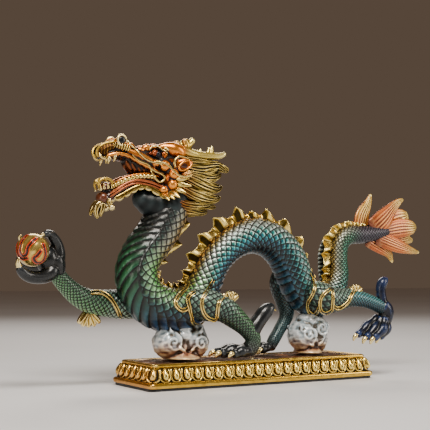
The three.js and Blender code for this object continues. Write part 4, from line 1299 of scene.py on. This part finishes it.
# The petals at the end of the tail, from the top round to the bottom.
TAIL_PETALS = [
    [(148, 3, 128, 3, 10), (153, 4, 146, 2.6, 9.6), (161, 5, 160, 2, 5.6), (165.6, 4, 171.6, 0.6, 1.2)],
    [(160, -3, 130, 3, 12), (176, -4, 143, 2.8, 12), (189, -4, 156, 2.2, 7), (198, -4, 163, 1.4, 4),
     (206, -3, 166.6, 0.6, 1.2)],
    [(174, 1, 132, 3, 10), (194, 2, 141, 3, 14), (208, 2, 146, 2.4, 11), (217, 2, 149, 0.8, 4)],
    [(178, -2, 130, 3, 9), (200, -2, 134, 2.8, 11), (218, -2, 135.4, 2.2, 8), (226, -1, 136, 0.8, 2.6)],
    [(178, 3, 128, 3, 8), (200, 4, 125, 2.6, 9), (217, 5, 122.4, 2, 6), (226, 5, 121, 0.7, 2)],
    [(166, -2, 124, 3, 9), (194, -4, 115, 2.8, 8), (213, -4, 110, 2.2, 4.6), (228.6, -3, 107, 0.6, 1.2)],
    [(156, 1, 122, 3, 9), (173, 1, 114.6, 2.6, 8.4), (186, 1, 106.6, 2, 5.6), (193, 1, 95.4, 0.6, 1.2)],
]


def veined(along, angle):
    """Veins on both faces of a petal, fading at its edges and its tip."""
    waves = np.cos(np.cos(angle) * 20 + 2 * along)
    return 0.3 * np.sin(angle) ** 2 * waves * np.minimum(1, (1 - along) * 5)


def build_tail_petals():
    bm = bmesh.new()
    bm.verts.layers.float.new("along")
    for number, stations in enumerate(TAIL_PETALS):
        before = len(bm.verts)
        limb(bm, stations, 80, 32, dome=0.05, relief=veined)
        bm.verts.ensure_lookup_table()
        layer = bm.verts.layers.float["along"]
        tip = Vector(stations[-1][:3])
        length = (tip - Vector(stations[0][:3])).length
        # The first petal is mostly gilded.
        gilded = 0.55 if number == 0 else 0.0
        for vert in list(bm.verts)[before:]:
            vert[layer] = gilded + (1 - gilded) * (1 - min(1, (vert.co - tip).length / length))
    mesh = wash(mesh_of(bm), 4, 0.3)
    # Salmon lacquer rubbed with gold towards the tips, dark in the veins.
    petal, tree, surface = new_finish("salmon_and_gold_petal_lacquer", 0.55, 0.36, Coat_Weight=0.2)
    recess = add(tree, "stored", attribute_name="recess")
    along = add(tree, "stored", attribute_name="along")
    root = add(tree, "ramp", recess, stops=[
        (0.08, "#f2b068"), (0.26, "#dc8440"), (0.46, "#bc5c2a"), (0.68, "#6a361c"), (0.9, "#26120a"),
    ])
    tip = add(tree, "ramp", recess, stops=[
        (0.2, "#f6dc80"), (0.46, "#c89a40"), (0.66, "#7a5018"), (0.85, "#241808"),
    ])
    smoked = add(tree, "tint", 1.0, root, "#8a6a84")
    flushed = add(tree, "mix", add(tree, "fade", along, 0.02, 0.3), smoked, root)
    tree.links.new(add(tree, "mix", add(tree, "fade", along, 0.5, 0.92), flushed, tip),
                   surface.inputs["Base Color"])
    place_piece("tail_petals", mesh, petal)


# Clouds


# Each cloud: its name, its x, its billows (along, height, radius, half depth), the radius of its foot
# and its volutes (along, height, hand).
CLOUDS = [
    ("front_cloud", -76, [(-14, 17, 16, 16.5), (14, 16, 16, 17), (0, 25, 14, 14), (-17, 27, 9, 11),
                          (17, 27, 9, 11), (0, 12, 12, 12)], 24,
     [(-14.5, 17.5, 1), (15.5, 15.5, -1)]),
    ("rear_cloud", 75, [(-5, 19, 18, 18), (9, 25, 16, 17), (0, 32, 13, 14), (12, 13, 12, 13)], 19,
     [(-8, 20, -1), (9, 27, 1)]),
]


def build_clouds():
    for number, (name, x, billows, foot, volutes) in enumerate(CLOUDS):
        bm = bmesh.new()
        for along, height, radius, deep in billows:
            ball(bm, (x + along, 0, height), (radius, deep, radius))
        limb(bm, [(x, 0, 0.6, foot * 0.98, foot * 0.76), (x, 0.01, 3, foot * 0.88, foot * 0.7),
                  (x, 0.02, 8, foot * 0.66, foot * 0.55)], 40, 16, dome=0.05)
        # Crossed swags over both faces.
        for flank in FLANKS:
            for lean in (-1, 1):
                swag = [(x + lean * (2 + 17 * t), flank * (15.5 - 3.5 * t), 8 + 27 * t - 6 * math.sin(3 * t))
                        for t in np.linspace(0, 1, 30)]
                strand(bm, swag, 2.4, 10, taper=0.15)
        mesh = melted(bm, 0.8, 2)
        points, normals = points_of(mesh), normals_of(mesh)
        # Volutes wind outwards from their centres and fade into the billows.
        swirl = np.zeros(len(points))
        for along, height, hand in volutes:
            off_x, off_z = points[:, 0] - x - along, points[:, 2] - height
            reach = np.hypot(off_x, off_z)
            turn = np.arctan2(off_z, off_x) / FULL_TURN
            wave = (reach / 6.4 - hand * turn + 0.1) % 1.0
            ridge = np.exp(-(((wave - 0.5) / 0.2) ** 2)) * 2 - 0.8
            swirl += ridge * np.exp(-((reach / 10.5) ** 4)) * np.clip(np.abs(normals[:, 1]) * 1.6 - 0.2, 0, 1)
        uneven = np.array([noise.noise(Vector(p) * 0.16) for p in points])
        streaks = np.array([noise.noise(Vector((x * 0.12, y * 0.12, z * 0.4))) for x, y, z in points])
        keep_low = np.clip((points[:, 2] - 3) / 4, 0, 1)
        points += normals * ((0.75 * swirl + 1.2 * uneven + 0.5 * streaks - 0.8) * keep_low)[:, None]
        set_points(mesh, points)
        wash(mesh, 9, 0.42)
        place_piece(name, mesh, cloud_glaze(f"marbled_cloud_glaze_{number + 1}"))


def cloud_glaze(name):
    """Pearl grey glaze with brown shadows, warming to copper gold at the foot."""
    glaze, tree, surface = new_finish(name, 0.3, 0.3, Coat_Weight=0.4, Coat_Roughness=0.15)
    recess = add(tree, "stored", attribute_name="recess")
    place = add(tree, "place")
    # Marbling about 11 mm across, and an uneven edge to the copper about 17 mm across.
    marbled, edge = add(tree, "noise", place, 90.0, 4.0, 1.0), add(tree, "noise", place, 60.0, 3.0)
    depth = add(tree, "ADD", recess, add(tree, "MULTIPLY_ADD", marbled, 0.5, -0.27))
    # Painted shade where forms meet, within about 6 mm.
    depth = add(tree, "ADD", depth, add(tree, "MULTIPLY", crevice_shade(tree, 6.0), 0.08))
    smoke, amber = (
        add(tree, "ramp", depth, stops=stops)
        for stops in (
            [(0.24, "#eef6fa"), (0.48, "#c2d0d6"), (0.66, "#90a4b0"), (0.84, "#706e66"), (1.0, "#4a4034")],
            [(0.24, "#ecc482"), (0.46, "#c07c38"), (0.66, "#86481a"), (0.95, "#381a08")],
        )
    )
    height = add(tree, "z", place)
    low = add(tree, "SUBTRACT", height, add(tree, "MULTIPLY_ADD", edge, 0.03, -0.015))
    # The copper starts 47 mm over the table and is full at 28 mm.
    copper = add(tree, "MULTIPLY", add(tree, "fade", low, 47 * MM, 28 * MM), 0.9)
    tree.links.new(add(tree, "mix", copper, smoke, amber), surface.inputs["Base Color"])
    return glaze


# Tufts at the knee, hock and elbow


# Each tuft: its root, its tips and its thickness.
TUFTS = [
    ((-36, -27, 56), [(-46, -28, 63), (-40, -29, 66), (-33, -28, 66), (-27, -27, 63)], 2.6),
    ((117, -27, 60), [(110, -27.5, 69), (115, -28, 72), (121, -28, 72), (126, -27.5, 69)], 2.8),
    ((-166, 17, 49), [(-176, 17, 36), (-171, 18, 33), (-165, 18, 32), (-159, 17, 33), (-154, 16, 36)], 2.8),
]


def build_tufts():
    bm = bmesh.new()
    for root, tips, thick in TUFTS:
        for tip in tips:
            middle = [(a + b) / 2 for a, b in zip(root, tip)]
            stations = [(*root, thick * 0.8), (*middle, thick * 1.15), (*tip, thick * 0.85)]
            limb(bm, stations, 24, 24, dome=0.2, relief=ripples(0.35, 5))
    place_piece("limb_tufts", wash(mesh_of(bm), 4, 0.4), PALE_GOLD)


# Pearl


# The flames' outlines on the shown half of the pearl: right and up, in shares of its radius.
FLAMES = [
    [(-0.29, 0.86), (-0.5, 0.55), (-0.6, 0.2), (-0.62, -0.1), (-0.43, -0.38), (-0.19, -0.24), (-0.1, 0.14),
     (0.14, 0.48), (0.3, 0.66)],
    [(-0.86, 0.4), (-0.84, 0), (-0.74, -0.32), (-0.5, -0.52), (-0.2, -0.5)],
    [(0.74, 0.3), (0.84, -0.1), (0.8, -0.42), (0.62, -0.7), (0.34, -0.76), (0.22, -0.52), (0.42, -0.34),
     (0.6, -0.1)],
]
# Reach of the painted groove from a flame's line, and the ridge beside it, in shares of the radius.
GROOVE_REACH, RIDGE_PLACE, RIDGE_WIDTH = 0.07, 0.11, 0.05


def build_pearl():
    """The flaming pearl: a gilded ball with hooked flames cut in it and lined in red and black."""
    low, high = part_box("pearl")
    centre = (low + high) / 2 / MM
    radius = (high.z - low.z) / 2 / MM - 0.6
    bm = bmesh.new()
    bmesh.ops.create_icosphere(bm, subdivisions=6, radius=1)
    mesh = mesh_of(bm, "pearl")
    points = points_of(mesh)
    near = np.full(len(points), 9.0)
    for turn in (CAMERA_TURN, CAMERA_TURN + math.pi):
        right = np.array((math.cos(turn), -math.sin(turn), 0))
        towards = np.array((-math.sin(turn), -math.cos(turn), 0))
        for outline in FLAMES:
            for across, up in finer(outline, 90):
                level = math.sqrt(max(0.02, 1 - across * across - up * up))
                spot = right * across + towards * level + (0, 0, up)
                near = np.minimum(near, np.linalg.norm(points - spot, axis=1))
    groove = np.clip(1 - near / GROOVE_REACH, 0, 1)
    ridge = np.exp(-(((near - RIDGE_PLACE) / RIDGE_WIDTH) ** 2))
    lifted = points * (radius + 0.45 * ridge - 0.7 * groove)[:, None]
    set_points(mesh, lifted + np.array(centre[:]))
    keep(mesh, "flame_line", near)
    # Champagne gilding, with each flame's line black in its groove and red along its edge.
    pearl, tree, surface = new_finish("gilded_pearl_with_flames", 0.85, 0.24, Coat_Weight=0.3)
    line = add(tree, "stored", attribute_name="flame_line")
    paint = add(tree, "ramp", line, stops=[
        (0.0, "#0a0504"), (0.05, "#2a0c08"), (0.075, "#b02c10"), (0.12, "#dc5420"), (0.15, "#b89040"),
        (0.3, "#e2c670"), (0.7, "#c8a850")])
    tree.links.new(paint, surface.inputs["Base Color"])
    tree.links.new(add(tree, "MULTIPLY", add(tree, "fade", line, 0.06, 0.16), 0.85),
                   surface.inputs["Metallic"])
    place_piece("flaming_pearl", mesh, pearl, "pearl", foot=0)


# Plinth


PLINTH_LENGTH, PLINTH_WIDTH, PLINTH_CORNER = 260, 84, 5
# The petals hang between the foot band and the deck, leaning in.
PETAL_PITCH, PETAL_HEIGHT = 11.3, 13.6
PETAL_FOOT, PETAL_FOOT_INSET, PETAL_TOP_INSET = 4.6, 3.2, 7
# The plinth's section: how far in from its outline, and height.
PLINTH_SECTION = [
    (PLINTH_CORNER, 0), (1.2, 0), (0.3, 0.7), (0, 2.2), (0.2, 3.8), (1, 4.8), (2.4, 5.3), (3.4, 5.7),
    (4.4, 6.4), (5.1, 8), (5.9, 12), (6.6, 16), (7.0, 18), (6.6, 18.8), (6.2, 19.5), (6.2, 20.6),
    (6.6, 21.3), (7.4, 21.8),
    (8.6, 21.9), (9.6, 21.2), (14, 20.9), (24, 21.3), (33, 21.2), (41.5, 21.2),
]


def plinth_outline(turns):
    """Points of the plinth's rounded outline at shares 0 to 1 of a turn."""
    half_x, half_y = PLINTH_LENGTH / 2 - PLINTH_CORNER, PLINTH_WIDTH / 2 - PLINTH_CORNER
    quarter = PLINTH_CORNER * math.pi / 2
    lengths = [2 * half_y, quarter, 2 * half_x, quarter] * 2
    ends = np.cumsum([0, *lengths])
    place = (turns % 1.0) * ends[-1]
    corners = [(half_x, -half_y), (half_x, half_y), (half_x, half_y), (-half_x, half_y),
               (-half_x, half_y), (-half_x, -half_y), (-half_x, -half_y), (half_x, -half_y)]
    points = np.zeros((len(place), 2))
    for number in range(8):
        chosen = (place >= ends[number]) & (place < ends[number + 1])
        gone = place[chosen] - ends[number]
        heading = (number // 2) * math.pi / 2
        outward = np.array([math.cos(heading), math.sin(heading)])
        ahead = np.array([-math.sin(heading), math.cos(heading)])
        corner = np.array(corners[number])
        if number % 2 == 0:
            points[chosen] = corner + outward * PLINTH_CORNER + ahead * gone[:, None]
        else:
            angle = heading + gone / PLINTH_CORNER
            points[chosen] = corner + PLINTH_CORNER * np.stack([np.cos(angle), np.sin(angle)], axis=1)
    return points


def build_plinth():
    mesh, turn, level = flat_sheet(680, 88)
    inset, height = smooth_curve(PLINTH_SECTION, level).T
    outline = plinth_outline(turn)
    # On the deck the insets end at the long middle line.
    flat = outline - np.sign(outline) * np.minimum(inset[:, None], np.abs(outline))
    points = np.column_stack([flat, height])
    # A waved, trodden deck.
    deck = np.clip((inset - 9) / 4, 0, 1)
    points[:, 2] += deck * (0.45 * np.sin(points[:, 0] * 0.23) * np.cos(points[:, 1] * 0.31) - 0.2)
    set_points(mesh, points)
    keep(mesh, "deck", deck)
    above_foot = np.clip((points[:, 2] - PETAL_FOOT) / 1.5, 0, 1)
    keep(mesh, "behind_petals", above_foot * np.clip((17.4 - points[:, 2]) / 1.5, 0, 1))
    mesh = wash(closed(mesh, 2e-3), 4, 0.6)
    # The block is made darker behind the petals.
    umber = 0.34 * kept(mesh, "behind_petals") * (kept(mesh, "deck") < 0.5)
    keep(mesh, "recess", np.clip(kept(mesh, "recess") + umber, 0, 1))
    place_piece("plinth_block", mesh, plinth_gilding(True), "plinth", PLINTH_FOOT)


def plinth_gilding(with_deck):
    """Yellow gold leaf over red clay, with painted shade in darker orange towards the left end, umber in the
    carving.

    The deck is left in dark brown-grey lacquer that lightens to copper at its rim.
    """
    name = "antique_plinth_gilding" if with_deck else "antique_petal_gilding"
    # The orange tint towards the left end is painted shade.
    material = cast_finish(name, [
        (0.08, "#ffe98a"), (0.46, "#dcb242"), (0.6, "#7c5a14"), (0.74, "#241604"), (0.92, "#070402"),
    ], 0.9, 0.2, grain=0.1, warm=("#f0a070", -116, -140))
    if with_deck:
        # Patches of bare copper about 20 mm across.
        tree = material.node_tree
        surface = tree.nodes["Principled BSDF"]
        gilding = surface.inputs["Base Color"].links[0].from_socket
        bare = surface.inputs["Metallic"].links[0].from_socket
        deck = add(tree, "stored", attribute_name="deck")
        place = add(tree, "place")
        patchy = add(tree, "noise", place, 45.0, 4.0)
        ground = add(tree, "ramp", patchy, stops=[
            (0.32, "#1c1614"), (0.48, "#4a3226"), (0.62, "#8a5026"), (0.75, "#b87838")])
        share = add(tree, "fade", deck, 0.1, 0.9)
        tree.links.new(add(tree, "mix", share, gilding, ground), surface.inputs["Base Color"])
        gilt = add(tree, "SUBTRACT", 1.0, add(tree, "MULTIPLY", share, 0.7))
        tree.links.new(add(tree, "MULTIPLY", bare, gilt), surface.inputs["Metallic"])
    return material


def one_petal(wide):
    """A hanging petal: a U-shaped raised edge round a long bead, in its own plane."""
    bm = bmesh.new()
    half = wide * 0.43
    top, bend = PETAL_HEIGHT * 0.5, -PETAL_HEIGHT * 0.16
    edge = [(-half * (0.86 + 0.14 * t), 0, top + (bend - top) * t) for t in np.linspace(0, 1, 6)]
    edge += [(-half * math.cos(a), 0, bend - 4.3 * math.sin(a)) for a in np.linspace(0.2, math.pi - 0.2, 11)]
    edge += [(half * (1 - 0.14 * t), 0, bend + (top - bend) * t) for t in np.linspace(0, 1, 6)]
    strand(bm, [(x, -0.9, z) for x, _, z in edge], 0.95, 7, taper=0.03)
    limb(bm, [(0, 0.6, top + 0.4, wide * 0.2, 1.3), (0, -0.7, top * 0.5, wide * 0.28, 2.5),
              (0, -1.5, bend + 0.6, wide * 0.32, 3.1), (0, -0.6, bend - 2.8, wide * 0.22, 1.8)],
         14, 12, dome=0.2)
    return wash(mesh_of(bm, "petal"), 1, 0.4)


def build_plinth_petals():
    middle = PETAL_FOOT + PETAL_HEIGHT / 2
    inset = (PETAL_FOOT_INSET + PETAL_TOP_INSET) / 2 + 0.4
    lean = math.atan2(PETAL_TOP_INSET - PETAL_FOOT_INSET, PETAL_HEIGHT)
    half_x, half_y = PLINTH_LENGTH / 2 - inset, PLINTH_WIDTH / 2 - inset
    corner_room = PLINTH_CORNER + PETAL_PITCH * 0.62
    places = []
    for side in FLANKS:
        for half, on_long_side in ((half_x, True), (half_y, False)):
            span = half - corner_room
            steps = round(2 * span / PETAL_PITCH)
            wide = 2 * span / steps
            for i in range(steps + 1):
                at = i * 2 * span / steps - span
                if on_long_side:
                    places.append((at, side * half_y, math.pi if side > 0 else 0, wide))
                else:
                    places.append((side * half_x, at, side * math.pi / 2, wide))
        # A wider petal turned outwards on each corner.
        for end in FLANKS:
            x, y = end * (half_x - PLINTH_CORNER / 2 + 0.6), side * (half_y - PLINTH_CORNER / 2 + 0.6)
            places.append((x, y, math.atan2(end, -side), PETAL_PITCH * 1.25))
    bm = bmesh.new()
    for x, y, turn, wide in places:
        before = len(bm.verts)
        petal = one_petal(wide)
        bm.from_mesh(petal)
        bpy.data.meshes.remove(petal)
        bm.verts.ensure_lookup_table()
        set_up = Matrix.Translation((x, y, middle)) @ Matrix.Rotation(turn, 4, "Z")
        set_up = set_up @ Matrix.Rotation(-lean, 4, "X")
        bmesh.ops.transform(bm, matrix=set_up, verts=bm.verts[before:])
    mesh = bpy.data.meshes.new("petals")
    bm.to_mesh(mesh)
    bm.free()
    # The plinth is replaced by its block, so the petals name no node.
    place_piece("plinth_petals", mesh, plinth_gilding(False), None, PLINTH_FOOT)


def finish_pad():
    """Black felt: matt, with a short nap of about half a millimetre."""
    felt, tree, surface = new_finish("black_felt", 0.0, 0.95, Sheen_Weight=0.4)
    place = add(tree, "place")
    nap = add(tree, "noise", place, 2000.0, 2.0)
    tone = add(tree, "ramp", nap, stops=[(0.3, "#08080a"), (0.7, "#1c1c20")])
    tree.links.new(tone, surface.inputs["Base Color"])
    bump = add(tree, "bump", nap, 0.6, 0.0005)
    tree.links.new(bump, surface.inputs["Normal"])
    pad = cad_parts["base_pad"]
    pad.data.materials.clear()
    pad.data.materials.append(felt)


# Stage


def build_stage():
    """A pale table, soft studio lamps and the camera at the photograph's angle."""
    bm = bmesh.new()
    bmesh.ops.create_grid(bm, x_segments=1, y_segments=1, size=6)
    floor = bpy.data.objects.new("floor", mesh_of(bm, "floor"))
    bpy.context.scene.collection.objects.link(floor)
    # Matt white laminate: pale and even, with the faintest cloudiness.
    table, tree, surface = new_finish("matt_white_laminate", 0.0, 0.55)
    place = add(tree, "place")
    cloudy = add(tree, "noise", place, 2.0, 2.0)
    tone = add(tree, "ramp", cloudy, stops=[(0.3, "#dcdde0"), (0.7, "#e4e5e8")])
    tree.links.new(tone, surface.inputs["Base Color"])
    floor.data.materials.append(table)

    world = bpy.data.worlds.new("studio")
    world.use_nodes = True
    backdrop = world.node_tree.nodes["Background"]
    backdrop.inputs["Color"].default_value = linear("#8a7462")
    backdrop.inputs["Strength"].default_value = 0.4
    bpy.context.scene.world = world

    # Place, aim, width, height and power of each soft box.
    lamps = [
        ("key", (-0.3, -0.75, 1.2), (0.0, 0.0, 0.12), 0.6, 0.45, 23.0),
        ("fill", (-1.25, -0.6, 0.45), (-0.05, 0.0, 0.12), 0.35, 0.8, 4.0),
        ("side", (1.0, -0.8, 0.55), (0.05, 0.0, 0.12), 0.35, 0.8, 7.0),
        ("rim", (0.4, 1.0, 0.95), (0.0, 0.0, 0.14), 0.8, 0.4, 9.0),
    ]
    for name, place, aim, width, height, power in lamps:
        lamp = bpy.data.lights.new(name, "AREA")
        lamp.color = (1.0, 0.93, 0.84)
        lamp.shape = "RECTANGLE"
        lamp.size, lamp.size_y, lamp.energy = width, height, power
        holder = bpy.data.objects.new(name, lamp)
        holder.location = place
        holder.rotation_euler = (Vector(aim) - Vector(place)).to_track_quat("-Z", "Y").to_euler()
        bpy.context.scene.collection.objects.link(holder)

    camera_data = bpy.data.cameras.new("camera")
    camera_data.sensor_width = 36
    camera_data.lens = camera_data.sensor_width * FOCAL_PIXELS / PHOTO_PIXELS
    camera_data.clip_start, camera_data.clip_end = 0.05, 30
    camera = bpy.data.objects.new("camera", camera_data)
    level = math.cos(CAMERA_TILT)
    look = Vector((math.sin(CAMERA_TURN) * level, math.cos(CAMERA_TURN) * level, math.sin(CAMERA_TILT)))
    camera.location = [along * MM for along in CAMERA_PLACE]
    camera.rotation_euler = look.to_track_quat("-Z", "Y").to_euler()
    bpy.context.scene.collection.objects.link(camera)
    bpy.context.scene.camera = camera


build_stage()
build_body()
build_legs()
build_feet()
build_hand()
build_limb_lines()
face_skin = build_face()
build_face_gold(face_skin)
build_eyes_and_nostrils()
build_muzzle()
build_jaw()
build_lip_curl_and_beard()
build_throat()
build_horns_and_ears()
build_mane()
build_crest()
build_tail_petals()
build_clouds()
build_tufts()
build_pearl()
build_plinth()
build_plinth_petals()
finish_pad()

bpy.context.view_layer.update()
